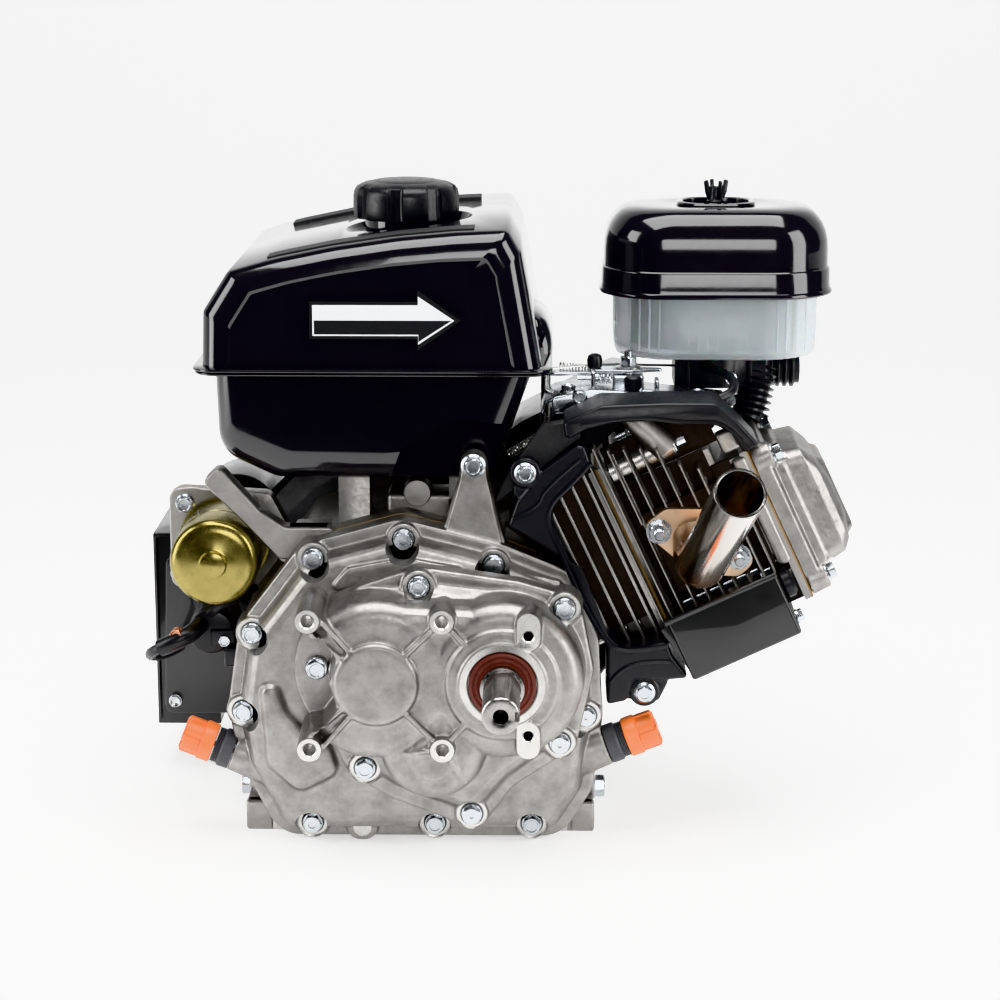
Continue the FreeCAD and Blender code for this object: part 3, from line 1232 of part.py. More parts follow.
def starter():
    motor = turned("starter_motor_can", [(0, -75), (9, -75), (9, -72), (26, -72), (30, -68), (30, 7.6),
                                         (0, 7.6)])
    flange_outline = outline([(-184, 166), (-184, 236), (-120, 232), (-116, 206), (-130, 176),
                              (-136, 166)], 8)
    lower = prism("starter_flange", [flange_outline, *[disc(x, z, 3.3) for x, z in STARTER_SCREWS]], 0, 7.6)
    nose = cylinder("starter_nose", 21.8, 60, ("starter_x", 7, "starter_z"))
    pinion_shaft = cylinder("pinion_shaft", 5, 14, ("starter_x", 66, "starter_z"))
    place(motor, ("starter_x", 0, "starter_z"), ALONG_Y)
    node(fuse("starter_motor", motor, lower, nose, pinion_shaft))
    can = cylinder("solenoid_can", 17, 45, (-150, -46, 143.5))
    lug = cylinder("solenoid_stud", 4, 15, (-160, -60, 143))
    node(fuse("starter_solenoid", can, lug))
    control_outer = box("control_box_outer", (48, 92, 150), (-208, 72, 36))
    node(control_case(control_outer))


def control_case(outer):
    """Electrical box on the left of the fan cover, cut away round the cover and the starter."""
    hollow = box("control_box_hollow", (44, 88, 146), (-206, 74, 38))
    drum_gap = cylinder("control_gap", "fan_cover_radius + 0.5", 200, ("crank_x", 60, "crank_z"))
    starter_gap = cylinder("starter_gap", 31.5, 100, ("starter_x", 60, "starter_z"))
    return cut("control_box", outer, hollow, drum_gap, starter_gap)


# ---------------------------------------------------------------- oil fillers

def oil_fillers():
    necks = []
    for name, side, across, up in (("left", -1, -123.4, 60.5), ("right", 1, 123.4, 66.5)):
        way = Vector(side * 0.93, 0, 0.36).normalize()
        foot = Vector(across, -73.5, up)
        tube = ring(f"oil_neck_{name}", 12, 8, 23.5, tuple(foot + way * 9.8), way)
        necks.append(tube)
        seat = foot + way * 33.6
        cap = cylinder(f"dipstick_head_{name}", 11.5, 14, tuple(seat), way)
        stick = cylinder(f"dipstick_{name}", 2, 30, tuple(seat - way * 30), way)
        plug = cylinder(f"dipstick_plug_{name}", 7.8, 8, tuple(seat - way * 8), way)
        node(fuse(f"oil_cap_{name}", cap, stick, plug))
    pair = doc.addObject("Part::Compound", "oil_necks")
    pair.Links = necks
    node(pair)


# ---------------------------------------------------------------- build and write

def check_and_write():
    doc.recompute()
    broken = [thing.Label for thing in doc.Objects if "Invalid" in thing.State or "Error" in thing.State]
    for thing in NODES:
        if thing.Shape.isNull() or not thing.Shape.isValid() or not thing.Shape.Solids:
            broken.append(thing.Label)
    if broken:
        raise SystemExit("not built: " + ", ".join(broken))
    os.makedirs("parts", exist_ok=True)
    for thing in NODES:
        thing.Shape.exportStep(f"parts/{thing.Label}.step")
    print(len(NODES), "nodes written")


crankcase()
crankcase_cover()
gear_case()
fasteners()
bearings()
crankshaft()
gears_and_sprockets()
reduction_chain()
output_shaft()
piston_group()
camshaft()
valve_gear()
cylinder_head()
gaskets()
rocker_cover()
spark_plug()
cooling()
recoil()
tank()
air_cleaner()
fuel_system()
control()
exhaust()
shrouds()
starter()
oil_fillers()
check_and_write()
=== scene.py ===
import json
import math

import bmesh
import bpy
from mathutils import Matrix, Vector


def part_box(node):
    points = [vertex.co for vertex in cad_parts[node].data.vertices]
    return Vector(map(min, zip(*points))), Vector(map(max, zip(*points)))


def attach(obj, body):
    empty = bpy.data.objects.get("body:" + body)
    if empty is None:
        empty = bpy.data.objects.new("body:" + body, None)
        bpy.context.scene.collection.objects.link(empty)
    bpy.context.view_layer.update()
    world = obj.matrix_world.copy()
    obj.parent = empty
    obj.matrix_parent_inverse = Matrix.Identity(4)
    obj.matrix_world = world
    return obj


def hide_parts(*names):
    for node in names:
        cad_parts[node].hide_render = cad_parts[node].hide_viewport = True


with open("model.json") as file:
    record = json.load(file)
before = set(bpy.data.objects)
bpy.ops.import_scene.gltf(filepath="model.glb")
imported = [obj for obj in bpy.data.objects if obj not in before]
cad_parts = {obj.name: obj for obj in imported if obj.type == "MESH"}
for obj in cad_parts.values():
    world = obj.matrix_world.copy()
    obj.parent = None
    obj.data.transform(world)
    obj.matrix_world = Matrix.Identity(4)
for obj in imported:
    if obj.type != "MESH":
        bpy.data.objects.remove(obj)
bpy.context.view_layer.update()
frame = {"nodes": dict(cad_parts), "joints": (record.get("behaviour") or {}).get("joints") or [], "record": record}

# Lengths in this script are millimetres in the row's frame. Meshes are scaled to metres when they are made.
MM = 0.001
X, Y, Z = Vector((1, 0, 0)), Vector((0, 1, 0)), Vector((0, 0, 1))


def corner(node):
    """Lowest and highest corners of a CAD node, in millimetres."""
    low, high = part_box(node)
    return low / MM, high / MM


# Driving places, read from the frame.
JOINT = {joint["name"]: joint for joint in frame["joints"]}
CRANK_X, _, CRANK_Z = (value / MM for value in JOINT["crank_spin"]["pos_m"])
SHAFT_X = JOINT["output_spin"]["pos_m"][0] / MM
BORE = Vector(JOINT["piston_stroke"]["axis"]).normalized()
ACROSS = Vector((-BORE.z, 0, BORE.x))


def along_bore(along, side, deep=0.0):
    """A point given along the bore from the crank line, across it, and back from the middle plane."""
    return Vector((CRANK_X, deep, CRANK_Z)) + BORE * along + ACROSS * side


# ---------------------------------------------------------------- materials

class Nodes:
    """A material under construction: one Principled shader and the nodes that feed it."""

    def __init__(self, name, color, roughness, metallic=0.0):
        self.material = bpy.data.materials.new(name)
        self.material.use_nodes = True
        self.tree = self.material.node_tree
        self.shader = self.tree.nodes["Principled BSDF"]
        self.shader.inputs["Base Color"].default_value = (*color, 1)
        self.shader.inputs["Roughness"].default_value = roughness
        self.shader.inputs["Metallic"].default_value = metallic
        self.place = self.tree.nodes.new("ShaderNodeTexCoord").outputs["Object"]
        self.height = None

    def set(self, **values):
        for name, value in values.items():
            self.shader.inputs[name.replace("_", " ")].default_value = value
        return self

    def link(self, start, end):
        self.tree.links.new(start, end)

    def stretched(self, scale):
        """Object coordinates multiplied by a vector, for grain that runs one way."""
        mapping = self.tree.nodes.new("ShaderNodeMapping")
        mapping.inputs["Scale"].default_value = scale
        self.link(self.place, mapping.inputs["Vector"])
        return mapping.outputs["Vector"]

    def noise(self, size, detail=4.0, roughness=0.55, stretch=None):
        """Noise whose features are about size millimetres wide."""
        texture = self.tree.nodes.new("ShaderNodeTexNoise")
        texture.inputs["Scale"].default_value = 1 / (size * MM)
        texture.inputs["Detail"].default_value = detail
        texture.inputs["Roughness"].default_value = roughness
        self.link(self.stretched(stretch) if stretch else self.place, texture.inputs["Vector"])
        return texture.outputs["Fac"]

    def remap(self, value, low, high, to_low, to_high):
        node = self.tree.nodes.new("ShaderNodeMapRange")
        node.inputs["From Min"].default_value = low
        node.inputs["From Max"].default_value = high
        node.inputs["To Min"].default_value = to_low
        node.inputs["To Max"].default_value = to_high
        self.link(value, node.inputs["Value"])
        return node.outputs["Result"]

    def ramp(self, value, *stops):
        """A colour ramp from (position, colour) stops."""
        node = self.tree.nodes.new("ShaderNodeValToRGB")
        band = node.color_ramp
        while len(band.elements) < len(stops):
            band.elements.new(0.5)
        for element, (position, color) in zip(band.elements, stops):
            element.position = position
            element.color = (*color, 1)
        self.link(value, node.inputs["Fac"])
        return node.outputs["Color"]

    def mix(self, factor, first, second, blend="MIX"):
        """Colours or sockets blended by a factor, a number or a socket."""
        node = self.tree.nodes.new("ShaderNodeMix")
        node.data_type = "RGBA"
        node.blend_type = blend
        for socket, value in ((node.inputs[0], factor), (node.inputs[6], first), (node.inputs[7], second)):
            if isinstance(value, bpy.types.NodeSocket):
                self.link(value, socket)
            elif isinstance(value, tuple):
                socket.default_value = (*value, 1)
            else:
                socket.default_value = value
        return node.outputs[2]

    def color(self, socket):
        self.link(socket, self.shader.inputs["Base Color"])
        return self

    def rough(self, value, low, high):
        """Roughness between low and high as the value goes from 0.3 to 0.7."""
        self.link(self.remap(value, 0.3, 0.7, low, high), self.shader.inputs["Roughness"])
        return self

    def bump(self, value, depth, strength=1.0):
        """Raises the surface by a value times depth millimetres; calls add up."""
        node = self.tree.nodes.new("ShaderNodeBump")
        node.inputs["Strength"].default_value = strength
        node.inputs["Distance"].default_value = depth * MM
        self.link(value, node.inputs["Height"])
        if self.height is not None:
            self.link(self.height, node.inputs["Normal"])
        self.height = node.outputs["Normal"]
        self.link(self.height, self.shader.inputs["Normal"])
        return self


def edge_light(nodes):
    """Where a surface is convex, above one half, and concave, below."""
    return nodes.tree.nodes.new("ShaderNodeNewGeometry").outputs["Pointiness"]


def cast_metal(name, dark, pale, roughness=0.42, grain=0.10):
    """As-cast metal: fine grain, slow mottling, a painted highlight on convex edges and painted shade in concave
    corners.
    """
    made = Nodes(name, pale, roughness, 1.0)
    mottle = made.noise(14, 5, 0.6)
    base = made.ramp(mottle, (0.32, dark), (0.62, pale))
    # Painted highlight: convex edges are lightened to stand in for the light they catch.
    edge_highlight = made.remap(edge_light(made), 0.50, 0.56, 0.0, 0.45)
    base = made.mix(edge_highlight, base, tuple(min(1.0, value * 1.25) for value in pale))
    # Painted shade: concave corners and creases are darkened to stand in for the shade that falls there.
    crease_shade = made.remap(edge_light(made), 0.42, 0.49, 0.55, 0.0)
    base = made.mix(crease_shade, base, tuple(value * 0.30 for value in dark))
    made.color(base)
    made.rough(made.noise(3, 4), roughness - 0.08, roughness + 0.12)
    made.bump(made.noise(0.9, 3, 0.6), grain)
    made.bump(made.noise(5, 3), grain * 1.2, 0.6)
    return made.material


def plated(name, color, tint, roughness=0.24):
    """Bright zinc or chromate plating with faint clouds of tint."""
    made = Nodes(name, color, roughness, 1.0)
    made.color(made.ramp(made.noise(16, 3), (0.35, tint), (0.65, color)))
    made.rough(made.noise(5, 3), roughness - 0.03, roughness + 0.05)
    made.bump(made.noise(6, 2), 0.0006)
    return made.material


def turned_metal(name, color, roughness, stretch, depth=0.006):
    """Machined metal whose tool marks run across the stretched direction."""
    made = Nodes(name, color, roughness, 1.0)
    lines = made.noise(0.5, 2, 0.5, stretch)
    made.color(made.ramp(made.noise(8, 4), (0.3, tuple(value * 0.82 for value in color)), (0.65, color)))
    made.rough(lines, roughness - 0.05, roughness + 0.10)
    made.bump(lines, depth)
    return made.material


def enamel(name, color, roughness, peel=0.010, dust=0.010):
    """Sprayed paint under a clear coat, with slight orange peel and a trace of dust."""
    made = Nodes(name, color, roughness)
    made.set(Coat_Weight=0.6, Coat_Roughness=0.04, Specular_IOR_Level=0.5)
    made.color(made.ramp(made.noise(30, 5, 0.6), (0.35, color),
                         (0.75, tuple(value + dust for value in color))))
    made.rough(made.noise(9, 4), roughness, roughness + 0.06)
    made.bump(made.noise(2.2, 2, 0.4), peel)
    return made.material


def moulded(name, color, roughness, grain=0.03, size=0.7, variation=0.12):
    """Moulded plastic or rubber with a fine texture."""
    made = Nodes(name, color, roughness)
    low = tuple(value * (1 - variation) for value in color)
    high = tuple(value * (1 + variation) for value in color)
    made.color(made.ramp(made.noise(11, 4), (0.3, low), (0.7, high)))
    made.rough(made.noise(2.5, 3), roughness - 0.06, roughness + 0.08)
    made.bump(made.noise(size, 3), grain)
    return made.material


def milky_plastic(name):
    """Translucent natural moulding."""
    made = Nodes(name, (0.90, 0.92, 0.93), 0.22)
    made.set(Transmission_Weight=0.68, IOR=1.10, Subsurface_Weight=0.25, Coat_Weight=0.3,
             Coat_Roughness=0.12)
    made.color(made.ramp(made.noise(20, 3), (0.3, (0.86, 0.88, 0.90)), (0.7, (0.93, 0.95, 0.96))))
    made.bump(made.noise(3, 3), 0.02)
    return made.material


def heat_tinted(name):
    """Polished steel pipe, straw and brown by its flange, bright at its open end."""
    made = Nodes(name, (0.80, 0.78, 0.74), 0.10, 1.0)
    split = made.tree.nodes.new("ShaderNodeSeparateXYZ")
    made.link(made.place, split.inputs["Vector"])
    cloud = made.tree.nodes.new("ShaderNodeMath")
    cloud.operation = "MULTIPLY_ADD"
    cloud.inputs[1].default_value = 0.045
    made.link(made.noise(14, 3), cloud.inputs[0])
    made.link(split.outputs["Y"], cloud.inputs[2])
    heat = made.remap(cloud.outputs[0], -0.20, -0.05, 0.0, 1.0)
    tint = made.ramp(heat, (0.0, (0.82, 0.80, 0.77)), (0.50, (0.80, 0.76, 0.70)), (0.66, (0.62, 0.40, 0.27)),
                     (0.80, (0.42, 0.24, 0.16)), (0.90, (0.46, 0.30, 0.20)), (1.0, (0.66, 0.50, 0.36)))
    made.color(tint)
    polish = made.tree.nodes.new("ShaderNodeMath")
    made.link(made.remap(heat, 0.80, 0.95, 0.09, 0.42), polish.inputs[0])
    made.link(made.remap(made.noise(2, 4), 0.3, 0.7, 0.0, 0.06), polish.inputs[1])
    made.link(polish.outputs[0], made.shader.inputs["Roughness"])
    made.bump(made.noise(0.4, 2, 0.5, (1, 0.12, 0.12)), 0.004)
    return made.material


def filter_paper(name):
    """Pleated filter paper seen through the bowl."""
    made = Nodes(name, (0.62, 0.58, 0.50), 0.85)
    made.color(made.ramp(made.noise(2, 4), (0.35, (0.50, 0.47, 0.41)), (0.65, (0.72, 0.69, 0.62))))
    made.bump(made.noise(0.4, 3), 0.05)
    return made.material


MATERIALS = {
    "cast_aluminium": cast_metal("cast_aluminium", (0.235, 0.228, 0.219), (0.345, 0.335, 0.322)),
    "machined_aluminium": turned_metal("machined_aluminium", (0.62, 0.61, 0.59), 0.28, (1, 1, 1)),
    "zinc_steel": plated("zinc_steel", (0.56, 0.58, 0.60), (0.50, 0.53, 0.56)),
    "bright_steel": turned_metal("bright_steel", (0.70, 0.69, 0.67), 0.24, (0.25, 6, 0.25)),
    "polished_pipe": heat_tinted("polished_pipe"),
    "black_gloss": enamel("black_gloss", (0.009, 0.0085, 0.011), 0.10, 0.006, 0.004),
    "black_sheet": enamel("black_sheet", (0.004, 0.004, 0.0045), 0.32, 0.020, 0.006),
    "black_plastic": moulded("black_plastic", (0.006, 0.006, 0.008), 0.34),
    "dark_neck": moulded("dark_neck", (0.060, 0.060, 0.066), 0.48),
    "orange_plastic": moulded("orange_plastic", (0.90, 0.24, 0.075), 0.36, 0.02),
    "clear_bowl": milky_plastic("clear_bowl"),
    "filter_paper": filter_paper("filter_paper"),
    "gold_chromate": plated("gold_chromate", (0.31, 0.26, 0.10), (0.25, 0.21, 0.08), 0.24),
    "seal_rubber": moulded("seal_rubber", (0.11, 0.022, 0.014), 0.42, 0.02),
    "gasket_sheet": moulded("gasket_sheet", (0.30, 0.18, 0.075), 0.75, 0.04, 0.4),
    "cast_iron": cast_metal("cast_iron", (0.13, 0.13, 0.135), (0.24, 0.24, 0.245), 0.5),
    "mark_white": moulded("mark_white", (0.80, 0.81, 0.82), 0.35, 0.004, 2.0, 0.02),
    "mark_black": moulded("mark_black", (0.008, 0.008, 0.009), 0.40, 0.004, 2.0, 0.05),
    "pad_texture": moulded("pad_texture", (0.020, 0.020, 0.021), 0.62, 0.18, 0.9),
    "fin_shadow": cast_metal("fin_shadow", (0.016, 0.014, 0.013), (0.040, 0.034, 0.031), 0.6),
    "shaft_steel": turned_metal("shaft_steel", (0.36, 0.35, 0.34), 0.20, (0.25, 6, 0.25)),
    "copper": plated("copper", (0.72, 0.36, 0.24), (0.50, 0.24, 0.16), 0.28),
    "seal_foam": moulded("seal_foam", (0.05, 0.05, 0.055), 0.8, 0.12, 0.8),
    "pale_ceramic": moulded("pale_ceramic", (0.75, 0.74, 0.70), 0.15, 0.004),
}

SLOT = {entry["node"]: entry["material_slot"] for entry in frame["record"]["subparts"]}
for name, thing in frame["nodes"].items():
    thing.data.materials.clear()
    thing.data.materials.append(MATERIALS[SLOT[name]])

# ---------------------------------------------------------------- mesh building

TURN = 2 * math.pi


def axes(way, up=Z):
    """Two unit vectors square to a direction, for drawing around it."""
    way = Vector(way).normalized()
    side = Vector(up).cross(way)
    if side.length < 1e-6:
        side = X.cross(way) if abs(way.x) < 0.9 else Y.cross(way)
    side.normalize()
    return side, way.cross(side)


def mesh_object(name, verts, faces, material=None):
    """A new object from vertices in millimetres and faces."""
    mesh = bpy.data.meshes.new(name)
    mesh.from_pydata([tuple(c * MM for c in v) for v in verts], [], faces)
    made = bpy.data.objects.new(name, mesh)
    bpy.context.scene.collection.objects.link(made)
    work = bmesh.new()
    work.from_mesh(mesh)
    bmesh.ops.remove_doubles(work, verts=work.verts, dist=1e-7)
    bmesh.ops.recalc_face_normals(work, faces=work.faces)
    work.to_mesh(mesh)
    work.free()
    if material:
        mesh.materials.append(MATERIALS[material])
    return made


def loft(name, rings, material=None, ends=True, around=False):
    """A skin through rings of points; ends closes the first and last ring, around joins last to first."""
    count = len(rings[0])
    verts = [point for ring in rings for point in ring]
    faces = []
    for row in range(len(rings) if around else len(rings) - 1):
        low, high = row * count, (row + 1) % len(rings) * count
        for k in range(count):
            after = (k + 1) % count
            faces.append((low + k, low + after, high + after, high + k))
    if ends and not around:
        faces.append(tuple(range(count)))
        faces.append(tuple(range(len(verts) - count, len(verts))))
    return mesh_object(name, verts, faces, material)


def lathe(name, profile, at, way, material=None, segments=48, closed=False):
    """A turned solid from (radius, height) pairs along an axis; closed makes a ring from a loop."""
    side, up = axes(way)
    way = Vector(way).normalized()
    rings = []
    for radius, height in profile:
        radius = max(radius, 0.001)
        rings.append([Vector(at) + way * height + (side * math.cos(TURN * k / segments)
                      + up * math.sin(TURN * k / segments)) * radius for k in range(segments)])
    return loft(name, rings, material, ends=not closed, around=closed)


def rounded(points, radius, steps=5):
    """An outline with each corner rounded by an arc; radius may be one number or one per corner."""
    result = []
    count = len(points)
    for k, point in enumerate(points):
        here = Vector(point)
        before, after = Vector(points[k - 1]), Vector(points[(k + 1) % count])
        to_before, to_after = (before - here), (after - here)
        wanted = radius[k] if isinstance(radius, (list, tuple)) else radius
        if wanted <= 0:
            result.append(here)
            continue
        angle = to_before.angle(to_after)
        back = min(wanted / math.tan(angle / 2), to_before.length * 0.48, to_after.length * 0.48)
        start, end = here + to_before.normalized() * back, here + to_after.normalized() * back
        bow = back * math.tan(angle / 2)
        inward = (to_before.normalized() + to_after.normalized()).normalized()
        centre = here + inward * (bow / math.sin(angle / 2))
        first, last = start - centre, end - centre
        sweep = first.angle_signed(last) if len(here) == 2 else 0
        for step in range(steps + 1):
            turn = -sweep * step / steps
            c, s = math.cos(turn), math.sin(turn)
            result.append(centre + Vector((first.x * c - first.y * s, first.x * s + first.y * c)))
    return result


def shrunk(outline, amount):
    """An outline moved inwards by an amount, point by point along its own normals."""
    count = len(outline)
    area = sum(outline[k - 1].x * outline[k].y - outline[k].x * outline[k - 1].y for k in range(count))
    sign = 1 if area > 0 else -1
    moved = []
    for k, point in enumerate(outline):
        along = (outline[(k + 1) % count] - outline[k - 1])
        along = along.normalized() if along.length > 1e-9 else Vector((1, 0))
        moved.append(point + Vector((-along.y, along.x)) * sign * amount)
    return moved


def plate(name, outline, start, end, place, material=None, edge=0.0, steps=3):
    """A flat outline given thickness from start to end, its rims rounded by edge.

    place turns (across, height, depth) into a point of the row's frame."""
    rings = []
    if edge:
        turns = [math.pi / 2 * step / steps for step in range(steps + 1)]
        levels = [(edge - edge * math.sin(turn), start + edge - edge * math.cos(turn)) for turn in turns]
        levels += [(edge - edge * math.cos(turn), end - edge + edge * math.sin(turn)) for turn in turns]
    else:
        levels = [(0, start), (0, end)]
    for inset, depth in levels:
        ring = shrunk(outline, inset) if inset else outline
        rings.append([place(point.x, point.y, depth) for point in ring])
    return loft(name, rings, material)


def upright(across, height, depth):
    """Outlines drawn as seen from the front; depth runs back along +Y."""
    return Vector((across, depth, height))


def level(across, height, depth):
    """Outlines drawn as seen from above; depth runs up."""
    return Vector((across, height, depth))


def on_bore(across, height, depth):
    """Outlines drawn along the bore and across it; depth runs back along +Y."""
    return along_bore(across, height, depth)


def block(name, low, high, material=None, edge=1.0, place=upright):
    """A box with rounded edges, from its low to its high corner in place's own axes."""
    outline = rounded([(low[0], low[1]), (high[0], low[1]), (high[0], high[1]), (low[0], high[1])], edge, 3)
    return plate(name, outline, low[2], high[2], place, material, edge)


def tube(name, points, radius, material=None, segments=12, smooth=True, ends=True):
    """A round bar or hose along points; smooth runs a NURBS curve through their cage."""
    curve = bpy.data.curves.new(name, "CURVE")
    curve.dimensions = "3D"
    spline = curve.splines.new("NURBS" if smooth else "POLY")
    spline.points.add(len(points) - 1)
    for point, place in zip(spline.points, points):
        point.co = (*(Vector(place) * MM), 1)
    if smooth:
        spline.order_u = 3
        spline.use_endpoint_u = True
    curve.resolution_u = 6
    curve.bevel_depth = radius * MM
    curve.bevel_resolution = max(1, segments // 4 - 1)
    curve.use_fill_caps = ends
    holder = bpy.data.objects.new(name, curve)
    bpy.context.scene.collection.objects.link(holder)
    bpy.context.view_layer.update()
    mesh = bpy.data.meshes.new_from_object(holder)
    bpy.data.objects.remove(holder)
    made = bpy.data.objects.new(name, mesh)
    bpy.context.scene.collection.objects.link(made)
    mesh.materials.clear()
    if material:
        mesh.materials.append(MATERIALS[material])
    return made


def coil(name, start, end, radius, wire, turns, material):
    """A close-wound spring between two points."""
    start, end = Vector(start), Vector(end)
    side, up = axes(end - start)
    steps = int(turns * 12)
    points = []
    for step in range(steps + 1):
        turn = TURN * turns * step / steps
        points.append(start.lerp(end, step / steps) + (side * math.cos(turn) + up * math.sin(turn)) * radius)
    return tube(name, points, wire, material, 8)


def joined(name, parts):
    """Several meshes as one object, each keeping its own materials."""
    parts = [part for part in parts if part]
    for part in bpy.context.selected_objects:
        part.select_set(False)
    for part in parts:
        part.select_set(True)
    bpy.context.view_layer.objects.active = parts[0]
    if len(parts) > 1:
        bpy.ops.object.join()
    whole = bpy.context.view_layer.objects.active
    whole.select_set(False)
    whole.name = name
    whole.data.name = name
    return whole


def twin(node, material=None):
    """A free copy of a CAD node's mesh, to be worked on."""
    made = bpy.data.objects.new(node + "_copy", frame["nodes"][node].data.copy())
    bpy.context.scene.collection.objects.link(made)
    work = bmesh.new()
    work.from_mesh(made.data)
    bmesh.ops.remove_doubles(work, verts=work.verts, dist=1e-6)
    work.to_mesh(made.data)
    work.free()
    if material:
        made.data.materials.clear()
        made.data.materials.append(MATERIALS[material])
    return made


def settle(thing):
    """Applies the modifiers of an object to its mesh."""
    bpy.context.view_layer.update()
    graph = bpy.context.evaluated_depsgraph_get()
    mesh = bpy.data.meshes.new_from_object(thing.evaluated_get(graph))
    old = thing.data
    thing.modifiers.clear()
    thing.data = mesh
    bpy.data.meshes.remove(old)
    return thing


def carved(thing, *cutters, operation="DIFFERENCE"):
    """Cuts closed meshes out of a closed mesh; the cut faces take the cutter's material."""
    for cutter in cutters:
        step = thing.modifiers.new("carve", "BOOLEAN")
        step.operation = operation
        step.solver = "MANIFOLD"
        step.material_mode = "TRANSFER"
        step.object = cutter
    settle(thing)
    for cutter in cutters:
        bpy.data.objects.remove(cutter)
    return thing


def softened(thing, voxel, passes=4, keep=0.45):
    """One closed skin over overlapping solids, its edges melted as in a casting."""
    voxel = voxel * 1.0
    step = thing.modifiers.new("skin", "REMESH")
    step.mode = "VOXEL"
    step.voxel_size = voxel * MM
    melt = thing.modifiers.new("melt", "SMOOTH")
    melt.factor = 0.5
    melt.iterations = passes
    thin = thing.modifiers.new("thin", "DECIMATE")
    thin.ratio = keep
    return settle(thing)


def bevelled(thing, width, segments=2, angle=30):
    """Rounds the sharp edges of a piece."""
    step = thing.modifiers.new("bevel", "BEVEL")
    step.width = width * MM
    step.segments = segments
    step.limit_method = "ANGLE"
    step.angle_limit = math.radians(angle)
    step.harden_normals = False
    return settle(thing)


def shaded(thing, angle=35):
    """Smooth shading that stays crisp over edges sharper than the angle."""
    mesh = thing.data
    mesh.polygons.foreach_set("use_smooth", [True] * len(mesh.polygons))
    mesh.set_sharp_from_angle(angle=math.radians(angle))
    return thing


def finished(thing, name, body, *nodes, angle=35, slot=None):
    """Names a piece, shades it, sets it on its body and hides the CAD nodes it stands for."""
    thing.name = name
    thing.data.name = name
    shaded(thing, angle)
    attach(thing, body)
    if nodes:
        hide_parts(*nodes)
    return thing


def painted(thing, material):
    """Gives a whole piece one material."""
    thing.data.materials.clear()
    thing.data.materials.append(MATERIALS[material])
    return thing


# ---------------------------------------------------------------- fasteners

def hex_head(name, at, way, across_flats, height, material, dished=False, turn=0.0):
    """A hexagon with rounded corners, chamfered at its free end."""
    side, up = axes(way)
    way = Vector(way).normalized()
    half = across_flats / 2
    corner_radius = across_flats / math.sqrt(3) * 0.985
    angles = [TURN * k / 36 for k in range(36)]

    def circle(lift, radii, twist=0.0):
        centre = Vector(at) + way * lift
        return [centre + (side * math.cos(angle + twist) + up * math.sin(angle + twist)) * radius
                for angle, radius in zip(angles, radii)]

    rings = []
    for share, cap in ((0, 9), (0.80, 9), (0.93, 1.02), (1, 0.93)):
        radii = []
        for angle in angles:
            wrapped = (angle % (math.pi / 3)) - math.pi / 6
            radii.append(min(half / math.cos(wrapped), half * cap * 1.06, corner_radius))
        rings.append(circle(height * share, radii, turn))
    ends = ((0.99, 0.80), (0.86, 0.70), (0.84, 0.05)) if dished else ((1, 0.82),)
    for share, width in ends:
        rings.append(circle(height * share, [half * width] * len(angles)))
    return loft(name, rings, material)


def flange_bolt(name, seat, way, shank, flange=8.5, flats=12.0, head=6.0, thickness=1.6, length=20.0,
                material="zinc_steel", turn=0.0):
    """A flange bolt: washer face, dished hexagon and its shank down into the hole."""
    way = Vector(way).normalized()
    seat = Vector(seat)
    skirt = lathe(name + "_skirt", [(shank, -0.2), (flange - 0.3, 0.02), (flange, 0.35),
                                    (flange - 0.15, thickness * 0.7),
                                    (flats * 0.60, thickness + 0.7), (flats * 0.3, thickness + 0.8)],
                  seat, way, material, 40)
    top = hex_head(name + "_hex", seat + way * thickness, way, flats, head, material, True, turn)
    stem = lathe(name + "_stem", [(shank, -length), (shank, 0.4)], seat, way, material, 24)
    return joined(name, [skirt, top, stem])

# ---------------------------------------------------------------- fuel tank

TANK_LOW, TANK_HIGH = corner("tank_upper_shell")
SHELL_LOW, SHELL_HIGH = corner("tank_lower_shell")
CAP_LOW, CAP_HIGH = corner("fuel_cap")
SEAM = SHELL_HIGH.z
FILLER = (CAP_LOW + CAP_HIGH) / 2
# The upper tank as seen from the front: a fold on the left, a crown that rises to the right, a short fold.
TANK_FRONT_VIEW = [(-148, SEAM - 16), (-146, 379), (-128.5, 406.5), (-98, 415.2), (-58, 423.4), (-14, 430),
                   (26, 433.6), (62, 435), (70.5, 420), (88, SEAM - 16)]
TANK_CROWN = [5, 7, 6, 160, 200, 220, 200, 7, 6, 5]


def scaled_ring(outline, centre, base, inset, half, tall, depth):
    """The outline drawn in towards a vertical line and a base height, set at a depth."""
    across, rise = 1 - inset / half, 1 - inset / tall
    return [Vector((centre + (p.x - centre) * across, depth, base + (p.y - base) * rise)) for p in outline]


def tank_body(name, outline, centre, base, half, tall, front, back, bevel, panel):
    """A pressed half tank: broad bevels at both ends and a shallow panel in the front."""
    rings = [scaled_ring(outline, centre, base, inset, half, tall, front + depth) for inset, depth in panel]
    rings += [scaled_ring(outline, centre, base, inset, half, tall, front + depth) for inset, depth in bevel]
    rings += [scaled_ring(outline, centre, base, inset, half, tall, back - depth)
              for inset, depth in reversed(bevel)]
    rings += [scaled_ring(outline, centre, base, 30, half, tall, back - 0.4)]
    return loft(name, rings, "black_gloss")


def flange_ring(name, low, high, floor, top, radius, inner):
    """The rolled seam flange: a flat ring with a rounded outer lip."""
    rings = []
    for inset, height in ((inner, floor), (1.2, floor), (0.3, floor + 0.5), (0.0, (floor + top) / 2),
                          (0.3, top - 0.5), (1.2, top), (inner, top)):
        outline = rounded([(low.x + inset, low.y + inset), (high.x - inset, low.y + inset),
                           (high.x - inset, high.y - inset), (low.x + inset, high.y - inset)],
                           radius - inset * 0.4, 8)
        rings.append([level(p.x, p.y, height) for p in outline])
    return loft(name, rings, "black_gloss", around=True)


